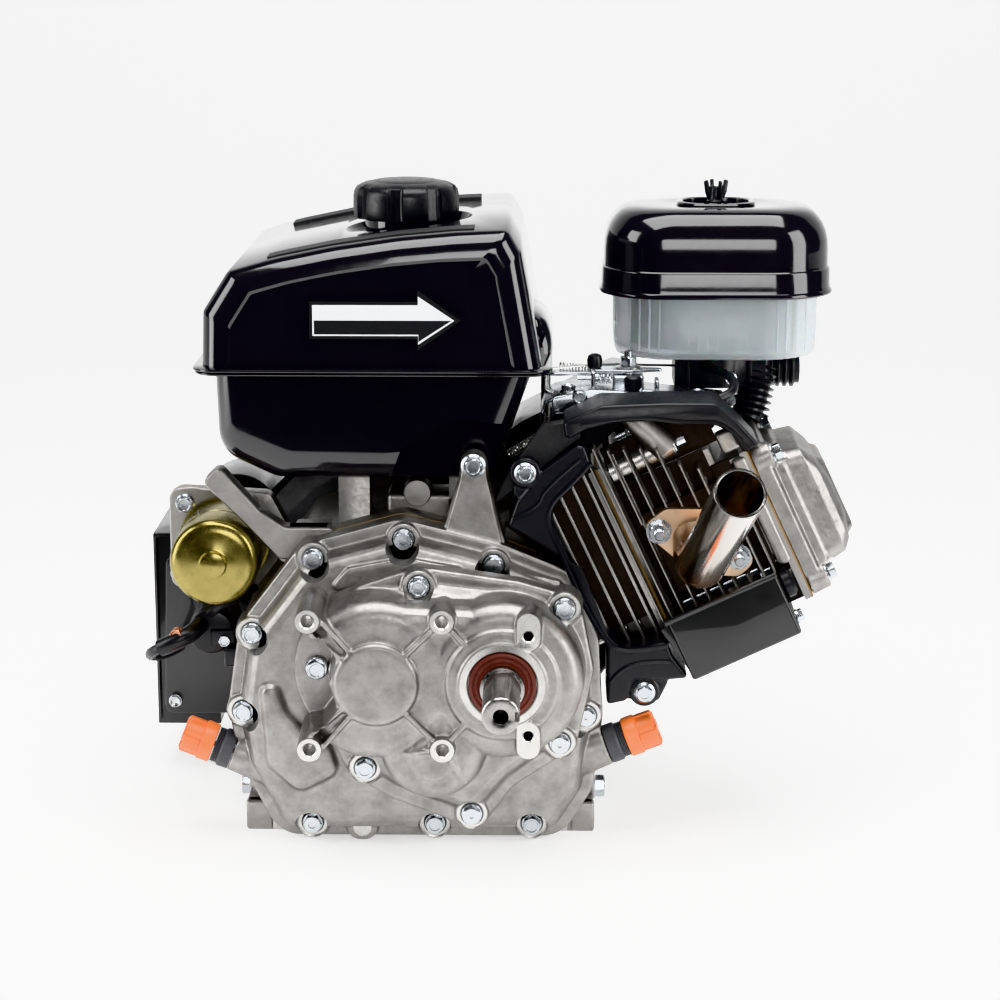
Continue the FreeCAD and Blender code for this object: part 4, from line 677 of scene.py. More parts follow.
def draped(name, outline, height_at, lift, material, steps=16):
    """A thin pad laid on a curved top, its outline given from above."""
    low, high = min(p[0] for p in outline), max(p[0] for p in outline)
    front, back = min(p[1] for p in outline), max(p[1] for p in outline)
    rows = []
    for step in range(steps + 1):
        x = low + (high - low) * step / steps
        rows.append([Vector((x, y, height_at(x) + rise)) for y, rise in
                     ((front, -0.6), (front, lift * 0.6), (front + 0.6, lift), (back - 0.6, lift),
                      (back, lift * 0.6), (back, -0.6))])
    return loft(name, rows, material)


def crown_height(x):
    """Height of the tank's top above a place across it."""
    points = TANK_FRONT_VIEW[2:8]
    for (x0, z0), (x1, z1) in zip(points, points[1:]):
        if x <= x1:
            share = (x - x0) / (x1 - x0)
            return z0 + (z1 - z0) * share + 0.5
    return points[-1][1]


def arrow_mark():
    """A plain arrow on the tank's front that points at the exhaust: white above, black below, white rim."""
    front = TANK_LOW.y - 0.02
    tail, tip, middle = -70.0, 26.0, 375.2
    neck, head, half, wide = 1.5, 1.5, 10.5, 16.4
    parts = []

    def layer(name, points, lift, material):
        parts.append(plate(name, [Vector(p) for p in points], front - lift, front - lift + 0.8, upright,
                           material))

    def arrow(grow, top=1.0, low=1.0):
        slope = grow * 1.9
        return [(tail - grow, middle - (half + grow) * low),
                (neck - grow * 0.2, middle - (half + grow) * low),
                (head - grow * 0.2, middle - (wide + slope) * low), (tip + slope, middle),
                (head - grow * 0.2, middle + (wide + slope) * top),
                (neck - grow * 0.2, middle + (half + grow) * top),
                (tail - grow, middle + (half + grow) * top)]

    layer("arrow_edge", arrow(2.2), 0.00, "mark_black")
    layer("arrow_rim", arrow(0.0), 0.12, "mark_white")
    inner = arrow(-1.0)
    lower = inner[:4] + [(tail + 1.0, middle)]
    layer("arrow_lower", lower, 0.24, "mark_black")
    return parts


def build_tank():
    """The pressed upper and lower tank halves with their seam, neck, arrow mark and pads."""
    bevel = [(17, 0.0), (11.5, 0.8), (7, 2.6), (3.2, 6.2), (0.9, 10.0), (0.0, 12.5)]
    panel = [(60, 1.2), (34, 1.25), (19.5, 1.3), (18.2, 0.5)]
    outline = rounded(TANK_FRONT_VIEW, TANK_CROWN, 5)
    upper = tank_body("tank_upper", outline, -30, SEAM - 16, 116, 112, TANK_LOW.y + 4, TANK_HIGH.y - 3,
                      bevel, panel)
    slab_low, slab_high = (-170, SEAM - 40, TANK_LOW.y - 10), (110, SEAM + 0.1, TANK_HIGH.y + 10)
    dish = lathe("dish", [(0, -9), (41.5, -9), (44.5, -6), (50, 14), (0, 14)], (FILLER.x, FILLER.y, 431), Z,
                 "black_gloss", 64)
    pocket = lathe("pocket", [(0, -60), (26, -60), (26, 20), (0, 20)], (FILLER.x, FILLER.y, 430), Z,
                   "black_gloss", 64)
    upper = carved(upper, block("below_seam", slab_low, slab_high), dish, pocket)
    neck = lathe("neck", [(26, -10), (29, -10), (29, 10.5), (30.6, 11.2), (30.6, 13.4), (29.4, 14),
                          (26.6, 14), (26, 13.4)],
                 (FILLER.x, FILLER.y, 421.5), Z, "black_gloss", 64, closed=True)
    lobe = loft("lobe", [[Vector((84 - 6 + (16 - inset * 0.5) * math.cos(t) * 0.95, y,
                                  341 + (max(0.0, 28 - inset))
                                  * max(0.0, math.sin(t)) ** 0.8))
                                  for t in [math.pi * k / 20 for k in range(21)]]
                        for y, inset in ((-26, 14), (-24, 8), (-20, 4), (-14, 1.5), (-6, 0), (50, 0),
                                         (58, 1.5), (63, 5), (66, 12))], "black_gloss")
    rim = flange_ring("upper_flange", Vector((TANK_LOW.x, TANK_LOW.y, 0)),
                      Vector((TANK_HIGH.x, TANK_HIGH.y, 0)), SEAM + 0.05, SEAM + 2.5, 17, 16)
    front_pad = draped("front_pad", [(-102, -70), (39, -50)], crown_height, 0.9, "pad_texture")
    back_pad = draped("back_pad", [(-102, 118), (39, 140)], crown_height, 0.9, "pad_texture")
    finished(joined("tank_upper", [upper, neck, lobe, rim, front_pad, back_pad] + arrow_mark()),
             "tank_upper", "engine", "tank_upper_shell", angle=28)

    front_view = [(-143, SEAM + 10), (-141, 280), (-101, 262.4), (-66, 262), (52, 262), (62, 290),
                  (84, SEAM + 10)]
    outline = rounded(front_view, [3, 22, 30, 30, 12, 60, 3], 7)
    rings = []
    deep_front, deep_back = SHELL_LOW.y + 32, SHELL_HIGH.y - 6
    ends = bevel_ends([(22, 0), (14, 0.8), (8, 3.0), (3.5, 7), (0.9, 12), (0, 17)])
    steps = [(inset, deep_front + depth if depth >= 0 else deep_back + depth) for inset, depth in ends]
    steps[6:6] = [(0, 52), (0, 66)]
    for inset, place in steps:
        sag = 6.0 if place < 60 else 0.0
        rings.append([Vector((-28 + (p.x + 28) * (1 - inset / 115), place, SEAM + 10 + (p.y - SEAM - 10)
                              * (1 - inset / 90) * (1 + sag / 84))) for p in outline])
    lower = loft("tank_lower", rings, "black_gloss")
    notch = plate("notch", rounded(((-19, 262), (-13, 279), (27, 301), (84, 294), (84, 252),
                                     (-19, 252)), [2, 8, 10, 2, 2, 2], 4),
                  deep_front - 4, deep_front + 7, upright, "black_gloss")
    lower = carved(lower, block("above_seam", (-170, SEAM - 0.1, -120), (120, SEAM + 40, 200)), notch)
    lower_rim = flange_ring("lower_flange", Vector((TANK_LOW.x + 1.5, TANK_LOW.y + 1.5, 0)),
                            Vector((TANK_HIGH.x - 1.5, TANK_HIGH.y - 1.5, 0)), SEAM - 2.4, SEAM - 0.05, 16,
                            24)
    finished(joined("tank_lower", [lower, lower_rim]), "tank_lower", "engine", "tank_lower_shell", angle=30)


def bevel_ends(levels):
    """Front levels as given, then the same at the back, counted backwards from it."""
    return levels + [(inset, -depth - 0.001) for inset, depth in reversed(levels)]


def build_fuel_cap():
    """A moulded cap: eight grip lobes, a soft shoulder and a low dome."""
    steps, lobes = 160, 8
    rings = []
    for radius, height, grip in ((30.5, 0, 0), (36.2, 0, 0.4), (37.2, 1.2, 0.7), (37.6, 8, 1),
                                 (37.4, 16, 1), (36.6, 19.5, 0.9),
                                 (34.8, 22, 0.5), (31, 24, 0.15), (26, 25.0, 0), (24.6, 25.3, 0),
                                 (23.8, 25.2, 0), (22.4, 25.9, 0), (12, 26.8, 0), (3, 27, 0)):
        ring = []
        for k in range(steps):
            turn = TURN * k / steps
            wave = math.cos(lobes * (turn + 0.16))
            hollow = max(0.0, min(1.0, (wave - 0.35) * 3.2))
            hollow = hollow * hollow * (3 - 2 * hollow)
            reach = radius - 3.4 * grip * hollow
            ring.append(Vector((FILLER.x + reach * math.cos(turn), FILLER.y + reach * math.sin(turn),
                                CAP_LOW.z + height)))
        rings.append(ring)
    rings.insert(0, [Vector((FILLER.x + 30.8 * math.cos(TURN * k / steps),
                             FILLER.y + 30.8 * math.sin(TURN * k / steps),
                             CAP_LOW.z + 6)) for k in range(steps)])
    rings.insert(0, [Vector((FILLER.x + 3 * math.cos(TURN * k / steps),
                             FILLER.y + 3 * math.sin(TURN * k / steps),
                             CAP_LOW.z + 6)) for k in range(steps)])
    cap = loft("fuel_cap_moulding", rings, "black_plastic")
    finished(cap, "fuel_cap_moulding", "fuel_cap_body", "fuel_cap", angle=40)


# ---------------------------------------------------------------- air cleaner

COVER_LOW, COVER_HIGH = corner("air_cleaner_cover")
CLEANER = (COVER_LOW + COVER_HIGH) / 2


def pill(half_x, half_y, radius, height, centre=None, steps=12):
    """A rounded rectangle seen from above, as one ring of points."""
    centre = centre or CLEANER
    radius = min(radius, half_x - 0.01, half_y - 0.01)
    ring = []
    for quarter, (sx, sy) in enumerate(((1, 1), (-1, 1), (-1, -1), (1, -1))):
        for step in range(steps + 1):
            turn = math.pi / 2 * (quarter + step / steps)
            ring.append(Vector((centre.x + sx * (half_x - radius) + radius * math.cos(turn),
                                centre.y + sy * (half_y - radius) + radius * math.sin(turn), height)))
    return ring


def build_air_cleaner():
    """The dished cleaner cover, the milky bowl with its ribs and the pleated filter inside."""
    top = COVER_HIGH.z
    outer = [(84.0, 61.3, 47, 376.6), (84.3, 61.6, 47, 377.6), (84.0, 61.3, 47, 378.8),
             (83.0, 60.3, 46, 380.2),
             (82.6, 59.9, 46, 383), (82.2, 59.5, 46, 393.6), (81.9, 59.2, 46, 394.6),
             (81.0, 58.3, 45, 395.4),
             (80.9, 58.2, 45, 397), (80.8, 58.1, 45, 407), (80.2, 57.6, 44, 415), (78.6, 56.2, 43, 421.5),
             (76.2, 54.0, 42, 426.8), (72.8, 50.8, 40, 431.4), (69.4, 47.8, 38, 434.6),
             (64.5, 43.4, 36, 436.9),
             (57.0, 36.6, 32, 437.9), (48, 29, 27, top - 0.05), (31, 24, 20, top - 0.05)]
    inner = [(29, 22.5, 18, top - 2.4), (52, 31, 28, top - 2.4), (59, 37.5, 31, 432.6), (75, 52.4, 41, 413),
             (79, 56.4, 43, 396), (80.6, 57.9, 44, 392), (82.2, 59.5, 45, 376.6)]
    dimple = [(27, 22, 19, top - 0.6), (25.5, 20.5, 18.5, top - 2.6), (20, 16, 14, top - 3.0),
              (3.4, 3.4, 3.3, top - 3.0), (3.4, 3.4, 3.3, top - 4.6)]
    rings = [pill(*size) for size in outer + dimple + [(22, 17.5, 14, top - 4.8)] + inner]
    cover = loft("cleaner_cover", rings, "black_gloss", around=True)
    washer = loft("cover_washer", [pill(*size) for size in ((27.5, 22.5, 19, top - 0.3),
                                                            (28.4, 23.4, 19.6, top + 0.5),
                                                            (27.6, 22.6, 19, top + 1.8),
                                                            (25.6, 20.6, 18, top + 2.2),
                                                            (23.8, 18.8, 16.5, top + 1.6),
                                                            (23.4, 18.4, 16, top - 2.8),
                                                            (25.0, 20.0, 17.5, top - 2.9))], "black_gloss",
                                                            around=True)
    finished(joined("cleaner_cover", [cover, washer]), "cleaner_cover", "cleaner_cover_body",
             "air_cleaner_cover", angle=24)

    bowl_outer = [(73.9, 54.2, 43, 380), (73.8, 54.1, 43, 370), (73.5, 53.8, 42, 350),
                  (73.2, 53.5, 42, 340), (72.8, 53.1, 41, 335.4),
                  (71.4, 51.8, 40, 332.2), (67, 47.4, 38, 330.8), (60, 40.5, 33, 330.3),
                  (18.4, 18.4, 18.3, 330.2)]
    bowl_inner = [(18.4, 18.4, 18.3, 332.2), (58, 38.5, 32, 332.4), (66, 46.4, 37, 335.2),
                  (69.6, 50, 40, 341), (70.6, 51, 41, 352), (71.6, 52, 41, 380)]
    bowl = loft("cleaner_bowl", [pill(*size) for size in bowl_outer + bowl_inner], "clear_bowl", around=True)
    ribs = []
    for k in range(-9, 10):
        x = CLEANER.x + k * 7.0
        y = CLEANER.y - 53.2 + (abs(k) / 9) ** 6 * 9
        ribs.append(tube(f"bowl_rib_{k}", [(x, y + 0.6, 338), (x, y, 346), (x, y, 376)], 0.9, "clear_bowl",
                         8))
    bowl = joined("cleaner_bowl", [bowl, *ribs])
    finished(bowl, "cleaner_bowl", "engine", "air_cleaner_bowl", angle=30)

    pleats, folds = [], 150
    for height in (341, 400):
        base = pill(60, 42, 33, height, steps=folds // 4)
        inside = pill(48, 30, 22, height, steps=folds // 4)
        pleats.append([out.lerp(mid, 0.0 if k % 2 else 0.55)
                       for k, (out, mid) in enumerate(zip(base, inside))])
    pleats.append(pill(44, 26, 19, 400, steps=folds // 4))
    pleats.append(pill(44, 26, 19, 341, steps=folds // 4))
    paper = loft("pleats", pleats, "filter_paper", around=True)
    caps = [loft(f"filter_end_{k}", [pill(*size) for size in ((43, 25, 18, low), (60.6, 42.6, 33, low),
                                                              (61, 43, 33, low + 1),
                                                            (61, 43, 33, low + 4),
                                                            (60.4, 42.4, 33, low + 5),
                                                            (43, 25, 18, low + 5))],
                 "seal_foam", around=True) for k, low in enumerate((337.5, 397))]
    finished(joined("filter", [paper] + caps), "filter", "engine", "filter_element", angle=30)


def build_wing_nut():
    """A black moulded nut with four flared wings on the end of the cover's stud."""
    low, _ = corner("wing_nut")
    foot = Vector((CLEANER.x, CLEANER.y, low.z))
    hub = lathe("wing_hub", [(3.1, 0), (6.3, 0), (6.6, 1), (5.2, 3.2), (4.6, 7), (4.4, 10.5), (4.0, 11.2),
                             (3.1, 11.2)], foot, Z, "black_plastic", 32, closed=True)
    wings = []
    for k in range(4):
        turn = math.radians(20 + 90 * k)
        out = Vector((math.cos(turn), math.sin(turn), 0))
        flat = out.cross(Z)
        outline = rounded(((3.6, 1.5), (6, 2), (8.2, 7), (9.6, 15.5), (6.4, 16.5), (5.6, 12), (3.6, 10.5)),
                          [1, 1, 2, 1.2, 1.0, 1.5, 1], 3)
        wings.append(plate(f"wing_{k}", outline, -1.1, 1.1,
                           lambda a, h, d, out=out, flat=flat: foot + out * a + Z * h + flat * d,
                           "black_plastic", 0.5, 2))
    finished(joined("wing_nut_moulding", [hub] + wings), "wing_nut_moulding", "wing_nut_body", "wing_nut",
             angle=40)


build_tank()
build_fuel_cap()
build_air_cleaner()
build_wing_nut()

# ---------------------------------------------------------------- front castings

# Planes of the front, along Y: case joint, cover rim and face, gear case rim and face, threaded columns.
CASE_FRONT, COVER_RIM, COVER_FACE = -60.0, -80.0, -100.0
GEAR_RIM, GEAR_FACE, COLUMN_FACE = -116.0, -150.0, -157.0
COVER_BOLTS = [(-116.6, 153), (-124, 96.3), (-72.9, 207), (-10.1, 221), (52.2, 203),
               (117, 94), (-76.2, 14), (10.7, 14), (79.2, 14)]
GEAR_BOLTS = [(2, 197), (101.4, 182), (98.6, 86), (37.8, 34), (-35.9, 67), (-68.4, 139)]
CASE_VIEW = [(-100, 3), (-128, 58), (-135, 98), (-126, 158), (-82, 216), (-12, 235),
             (58, 217), (110, 196), (126, 150), (129, 92), (122, 38), (100, 3)]
GEAR_VIEW = [(-78, 128), (-72, 172), (-40, 196), (2, 210), (70, 200), (112, 188), (122, 137),
             (110, 82), (66, 52), (46, 24), (26, 26), (-20, 44), (-48, 62)]
FACE_HALF = 45.0


def spot(name, across, up, plane, radius, out=-1, deep=14.0):
    """A cutter that leaves a flat, bright, round seat in a plane square to Y."""
    return lathe(name, [(0, 0), (radius, 0), (radius, deep), (0, deep)], (across, plane, up), Y * out,
                 "machined_aluminium", 40)


def relief(name, across, up, plane, start, end, deep):
    """A flared cast pocket in front of a bolt seat."""
    return lathe(name, [(0, 0), (start, 0), (end, deep), (0, deep)], (across, plane, up), -Y,
                 "cast_aluminium", 40)


def drill(name, across, up, plane, radius, deep=24.0, chamfer=0.7, material="machined_aluminium"):
    """A cutter for a hole with a small chamfer at its mouth."""
    return lathe(name, [(0, -deep), (radius, -deep), (radius, -chamfer), (radius + chamfer, 0),
                        (radius + chamfer, 2), (0, 2)], (across, plane, up), -Y, material, 32)


def dome(name, radius, across, up, front, back, fillet, flare=0.0):
    """A round lobe whose front rim is a broad fillet."""
    profile = [(0, 0), (radius - fillet, 0)]
    for step in range(1, 7):
        turn = math.pi / 2 * step / 6
        profile.append((radius - fillet + fillet * math.sin(turn), -(fillet - fillet * math.cos(turn))))
    profile += [(radius + flare, -(back - front)), (0, -(back - front))]
    return lathe(name, profile, (across, front, up), -Y, "cast_aluminium", 72)


def rib(name, start, end, thick, front_start, front_end, back):
    """A thin web between two places, its front edge sloping from one depth to another."""
    start, end = Vector(start), Vector(end)
    side = (end - start).normalized()
    flat = Vector((-side.y, side.x)) * thick / 2
    rings = []
    for place, front in ((start, front_start), (end, front_end)):
        a, b = place + flat, place - flat
        rings.append([Vector((a.x, front, a.y)), Vector((b.x, front, b.y)), Vector((b.x, back, b.y)),
                      Vector((a.x, back, a.y))])
    return loft(name, rings, "cast_aluminium")


def toward(place, centre, reach):
    """The place moved towards a centre until it is reach away from it."""
    gap = Vector(place) - Vector(centre)
    return Vector(centre) + gap.normalized() * reach


def wedge(name, outline, levels, material="cast_aluminium"):
    """An outline that shrinks from one depth to the next: (inset, depth) pairs, front first."""
    return loft(name, [[upright(p.x, p.y, depth) for p in (shrunk(outline, inset) if inset else outline)]
                       for inset, depth in levels], material)


def build_gear_case():
    """The reduction case: lobes, columns with gussets, bolt ears, seal boss and threaded lugs."""
    crank, shaft = Vector((CRANK_X, CRANK_Z)), Vector((SHAFT_X, CRANK_Z))
    flange = wedge("gear_flange", rounded(GEAR_VIEW, 14, 6),
                   [(3.0, GEAR_RIM + 0.0), (0.8, GEAR_RIM + 0.9), (0, GEAR_RIM + 3), (0, COVER_FACE)])
    parts = [flange,
             dome("crank_lobe", 56, crank.x, crank.y, GEAR_FACE, COVER_FACE, 13, 3),
             dome("shaft_lobe", 55, shaft.x, crank.y, GEAR_FACE, COVER_FACE, 13, 2),
             dome("lower_lobe", 35, 12, 88, GEAR_FACE + 2, COVER_FACE, 11, 7),
             dome("shaft_step", 39, shaft.x, crank.y, GEAR_FACE - 3.2, GEAR_FACE + 8, 3.2),
             dome("lower_disc", 16, 12, 84, GEAR_FACE + 0.4, GEAR_FACE + 6, 1.2),
             dome("blind_boss", 29, crank.x, crank.y, GEAR_FACE - 5, GEAR_FACE + 10, 4.0, 1.0),
             dome("seal_boss", 30.5, shaft.x, crank.y, GEAR_FACE - 5.4, GEAR_FACE + 8, 1.5, 1.0)]
    web = rounded(((crank.x - 6, crank.y - 44), (shaft.x + 6, crank.y - 46), (shaft.x + 6, crank.y + 50),
                   (crank.x - 6, crank.y + 54)), 6, 4)
    parts.append(wedge("lobe_web", web, [(10, GEAR_FACE + 1.5), (5, GEAR_FACE + 3), (2, GEAR_FACE + 7),
                                         (0, GEAR_FACE + 13), (-3, COVER_FACE)]))
    shoulder = rounded(((-64, 128), (-60, 168), (-34, 190), (2, 199), (70, 191), (104, 179), (112, 137),
                        (101, 90), (62, 60), (42, 36), (28, 38), (-14, 54), (-42, 72)), 16, 6)
    parts.append(wedge("gear_shoulder", shoulder, [(9, GEAR_RIM - 10), (4, GEAR_RIM - 7), (0, GEAR_RIM - 1),
                                                   (-2, GEAR_RIM + 4)]))
    for k, (across, up) in enumerate(GEAR_BOLTS):
        parts.append(lathe(f"ear_{k}", [(0, 4.4), (10.2, 4.4), (11.4, 3.4), (12.0, 0), (13.0, -16),
                                        (0, -16)], (across, GEAR_RIM, up), -Y, "cast_aluminium", 40))
    for sx in (-1, 1):
        for sz in (-1, 1):
            column = Vector((crank.x + sx * FACE_HALF, crank.y + sz * FACE_HALF))
            parts.append(lathe(f"column_{sx}_{sz}", [(0, 0.8), (8.3, 0.8), (8.7, -10), (9.8, -56), (0, -56)],
                               (column.x, COLUMN_FACE, column.y), -Y, "cast_aluminium", 40))
            inward = (crank - column).normalized()
            flat = Vector((-inward.y, inward.x))
            if sx < 0:
                for offset in (-6.8, 6.8):
                    start = column + flat * offset * 0.9 + inward * 3
                    parts.append(rib(f"gusset_{sz}_{offset}", start,
                                     toward(column + flat * offset * 1.25, crank, 27.5),
                                     3.0, COLUMN_FACE + 2.5, GEAR_FACE - 3.4, COVER_FACE))
                middle = column + inward * 19
                parts.append(rib(f"gusset_bar_{sz}", middle + flat * 7, middle - flat * 7, 3.0,
                                 GEAR_FACE + 1, GEAR_FACE + 1, COVER_FACE))
                parts.append(rib(f"gusset_floor_{sz}", column + inward * 4, toward(column, crank, 30), 13,
                                 GEAR_FACE + 10, GEAR_FACE + 10, COVER_FACE))
                parts.append(rib(f"buttress_{sz}", column + Vector((1, -sz * 4)),
                                 column + Vector((19, -sz * 33)), 3.0,
                                 COLUMN_FACE + 9, GEAR_FACE + 8, COVER_FACE))
            else:
                parts.append(rib(f"spoke_{sz}", column, toward(column, crank, 27), 3.2, GEAR_FACE - 4.6,
                                 GEAR_FACE - 3.4, GEAR_FACE + 6))
                parts.append(rib(f"stay_{sz}", column, toward(column, shaft, 37), 3.2, GEAR_FACE - 4.6,
                                 GEAR_FACE - 3.0, GEAR_FACE + 8))
    low_right = Vector((crank.x + FACE_HALF, crank.y - FACE_HALF))
    parts.append(rib("foot_spoke", low_right, low_right + Vector((16, -27)), 3.2, GEAR_FACE - 4.6,
                     GEAR_FACE + 3, GEAR_FACE + 14))
    parts.append(rib("side_spoke", low_right, low_right + Vector((-26, -5)), 3.2, GEAR_FACE - 4.6,
                     GEAR_FACE + 1, GEAR_FACE + 12))
    for sz in (-1, 1):
        lug = rounded([Vector((77 + dx, crank.y + sz * 35 + dz + sz * 3))
                       for dx, dz in ((-8, -13), (8, -13), (8, 13), (-8, 13))], 7.8, 6)
        parts.append(wedge(f"shaft_lug_{sz}", lug, [(0, GEAR_FACE - 6.0), (-0.6, GEAR_FACE + 2),
                                                    (-2.5, GEAR_FACE + 16)]))
    body = joined("gear_case_body", parts)
    bay = rounded(((-92, 172), (-64, 166), (-55.5, 155), (-60.5, 137.5), (-55.5, 120), (-64, 109),
                   (-92, 103)), 3, 4)
    body = softened(body, 0.85, 3, 1.0)
    body = carved(body, wedge("gear_bay", bay, [(-6, -178), (0, GEAR_RIM - 0.5)]))
    body = softened(body, 0.85, 5, 0.5)
    cuts = [spot("blind_cut", shaft.x, shaft.y, GEAR_FACE - 4.2, 29.0)]
    cuts.append(lathe("seal_seat", [(0, -30), (23.4, -30), (23.4, -0.8), (24.4, 0), (24.4, 3), (0, 3)],
                      (shaft.x, GEAR_FACE - 4.2, shaft.y), -Y, "machined_aluminium", 64))
    for k, (across, up) in enumerate(GEAR_BOLTS):
        cuts.append(spot(f"ear_spot_{k}", across, up, GEAR_RIM - 2, 10.6, deep=12))
        cuts.append(drill(f"ear_hole_{k}", across, up, GEAR_RIM - 2, 4.4, 30, 0.3))
    for sx in (-1, 1):
        for sz in (-1, 1):
            across, up = crank.x + sx * FACE_HALF, crank.y + sz * FACE_HALF
            cuts.append(spot(f"column_spot_{sx}_{sz}", across, up, COLUMN_FACE, 10))
            cuts.append(drill(f"column_hole_{sx}_{sz}", across, up, COLUMN_FACE, 4.25, 22, 1.0))
    for sz in (-1, 1):
        up = crank.y + sz * 35
        cuts.append(block(f"lug_spot_{sz}", (66, up + sz * 3 - 15, GEAR_FACE - 20),
                          (88, up + sz * 3 + 15, GEAR_FACE - 5.2), "machined_aluminium", 0.2))
        cuts.append(drill(f"lug_hole_{sz}", 77, up, GEAR_FACE - 5.2, 3.4, 14, 0.8))
    cuts.append(lathe("crank_cavity", [(0, 0), (29, 0), (30, 60), (0, 60)],
                      (crank.x, GEAR_FACE + 5, crank.y), Y, "cast_aluminium"))
    cuts.append(lathe("shaft_cavity", [(0, 0), (46, 0), (48, 60), (0, 60)],
                      (shaft.x, GEAR_FACE + 6, shaft.y), Y, "cast_aluminium"))
    body = carved(body, *cuts)
    finished(body, "gear_case_casting", "engine", "gear_case", angle=38)


def build_cover():
    """The crankcase cover behind the reduction case, with its rim, bolt ears and tank lug."""
    rim = wedge("cover_rim", rounded(CASE_VIEW, 24, 8),
                [(1.4, COVER_RIM), (0.3, COVER_RIM + 0.6), (0, COVER_RIM + 2), (0, CASE_FRONT - 0.8)])
    inner = shrunk(rounded(CASE_VIEW, 24, 8), 9)
    raised = wedge("cover_raised", inner, [(14, COVER_FACE), (9, COVER_FACE + 0.8), (5.2, COVER_FACE + 3.4),
                                           (2.6, COVER_FACE + 7.5),
                                           (0.8, COVER_FACE + 13), (-1.0, COVER_RIM + 2)])
    parts = [rim, raised]
    for k, (across, up) in enumerate(COVER_BOLTS):
        parts.append(lathe(f"rim_ear_{k}", [(0, 4.4), (10.2, 4.4), (11.4, 3.4), (12.0, 0), (12.6, -19),
                                            (0, -19)], (across, COVER_RIM, up), -Y, "cast_aluminium", 40))
    lug = rounded(((10, 204), (28, 262), (30, 281), (47, 281), (49, 262), (64, 204)), [4, 10, 9, 9, 10, 4],
                  6)
    parts.append(wedge("tank_lug", lug, [(1.0, -75.5), (0, -74), (0, CASE_FRONT - 0.8)]))
    lip = rounded(((14, 206), (29.5, 262), (31.5, 279.6), (45.5, 279.6), (47.5, 262), (60, 206)),
                  [4, 10, 8, 8, 10, 4], 6)
    parts.append(wedge("lug_lip", lip, [(0, -77.6), (-0.8, -74)]))
    tongue = rounded(((-57, 30), (-50, 1.2), (-32, 1.2), (-25, 30)), [4, 9.4, 9.4, 4], 7)
    parts.append(wedge("tongue", tongue, [(0.8, -84.6), (0, -83.4), (-0.5, -72)]))
    crescent = rounded(((-112, 122), (-96, 124), (-90, 104), (-76, 88), (-60, 80), (-52, 56), (-84, 40),
                        (-108, 62)), 12, 6)
    parts.append(wedge("cover_bulge", crescent, [(8, COVER_FACE - 5), (4, COVER_FACE - 4),
                                                 (1.5, COVER_FACE - 1), (0, COVER_FACE + 4)]))
    band = rounded(((-66, 186), (-48, 206), (-8, 214), (33, 206), (33, 192), (-12, 200)), 6, 5)
    parts.append(wedge("cover_band", band, [(3, COVER_FACE - 3.4), (1, COVER_FACE - 2.6),
                                            (0, COVER_FACE + 3)]))
    for name, side, foot in (("left", -1, 56), ("right", 1, 62)):
        way = Vector((side * 0.93, 0, 0.36))
        parts.append(lathe(f"filler_{name}", [(0, 0), (15.5, 0), (14.6, 20), (13.8, 34.2), (0, 34.2)],
                           (side * 100.5, -73.5, foot - 4.5), way, "cast_aluminium", 40))
        parts.append(lathe(f"foot_pad_{name}", [(0, 1.2), (8.2, 1.2), (9.2, 0), (10.5, -14), (0, -14)],
                           (side * 92 + 4, COVER_RIM - 6, 52), -Y, "cast_aluminium", 32))
    parts.append(rib("cover_web", (52, 203), (98, 190), 5, COVER_RIM - 10, COVER_RIM - 8, COVER_RIM + 4))
    body = softened(joined("cover_body", parts), 0.9, 6, 0.5)
    cuts = []
    for k, (across, up) in enumerate(COVER_BOLTS):
        cuts.append(spot(f"rim_spot_{k}", across, up, COVER_RIM - 2, 10.6, deep=7))
        cuts.append(relief(f"rim_relief_{k}", across, up, COVER_RIM - 8, 10.6, 14.5, 20))
        cuts.append(drill(f"rim_hole_{k}", across, up, COVER_RIM - 2, 4.4, 30, 0.3))
    for k, (across, up) in enumerate(GEAR_BOLTS):
        cuts.append(drill(f"gear_hole_{k}", across, up, COVER_FACE, 4.05, 12, 0.2))
    cuts.append(spot("lug_spot", 38.3, 272.3, -77.9, 10.5))
    cuts.append(drill("lug_hole", 38.3, 272.3, -77.9, 4.4, 30, 0.3))
    cuts.append(spot("tongue_spot", -40.9, 10.6, -84.4, 6.4, deep=4))
    cuts.append(wedge("rear_cavity", shrunk(rounded(CASE_VIEW, 24, 8), 16),
                      [(6, COVER_FACE + 7), (0, COVER_FACE + 14), (0, CASE_FRONT + 4)]))
    cuts.append(lathe("front_hole", [(0, -6), (36, -6), (36, 30), (0, 30)], (CRANK_X, COVER_FACE, CRANK_Z),
                      Y, "machined_aluminium"))
    body = carved(body, *cuts)
    finished(body, "cover_casting", "engine", "crankcase_cover", angle=38)


def build_case_bolts():
    """Flange bolts of the cover and gear case, each turned a little differently."""
    bolts = []
    for k, (across, up) in enumerate(COVER_BOLTS):
        bolts.append(flange_bolt(f"cover_bolt_{k}", (across, COVER_RIM - 2, up), -Y, 3.9, 8.2, 11.6, 5.8,
                                 1.7, 24, turn=k * 0.7))
    for k, (across, up) in enumerate(GEAR_BOLTS):
        bolts.append(flange_bolt(f"gear_bolt_{k}", (across, GEAR_RIM - 2, up), -Y, 3.9, 8.2, 11.6, 5.8, 1.7,
                                 24, turn=k * 1.1 + 0.3))
    bolts.append(flange_bolt("tank_lug_bolt", (38.3, -77.9, 272.3), -Y, 3.9, 8.6, 11.6, 5.8, 1.7, 16,
                             turn=0.4))
    finished(joined("case_bolt_set", bolts), "case_bolt_set", "engine", "case_bolts", angle=32)


build_gear_case()
build_cover()
build_case_bolts()

# ---------------------------------------------------------------- barrel and head side

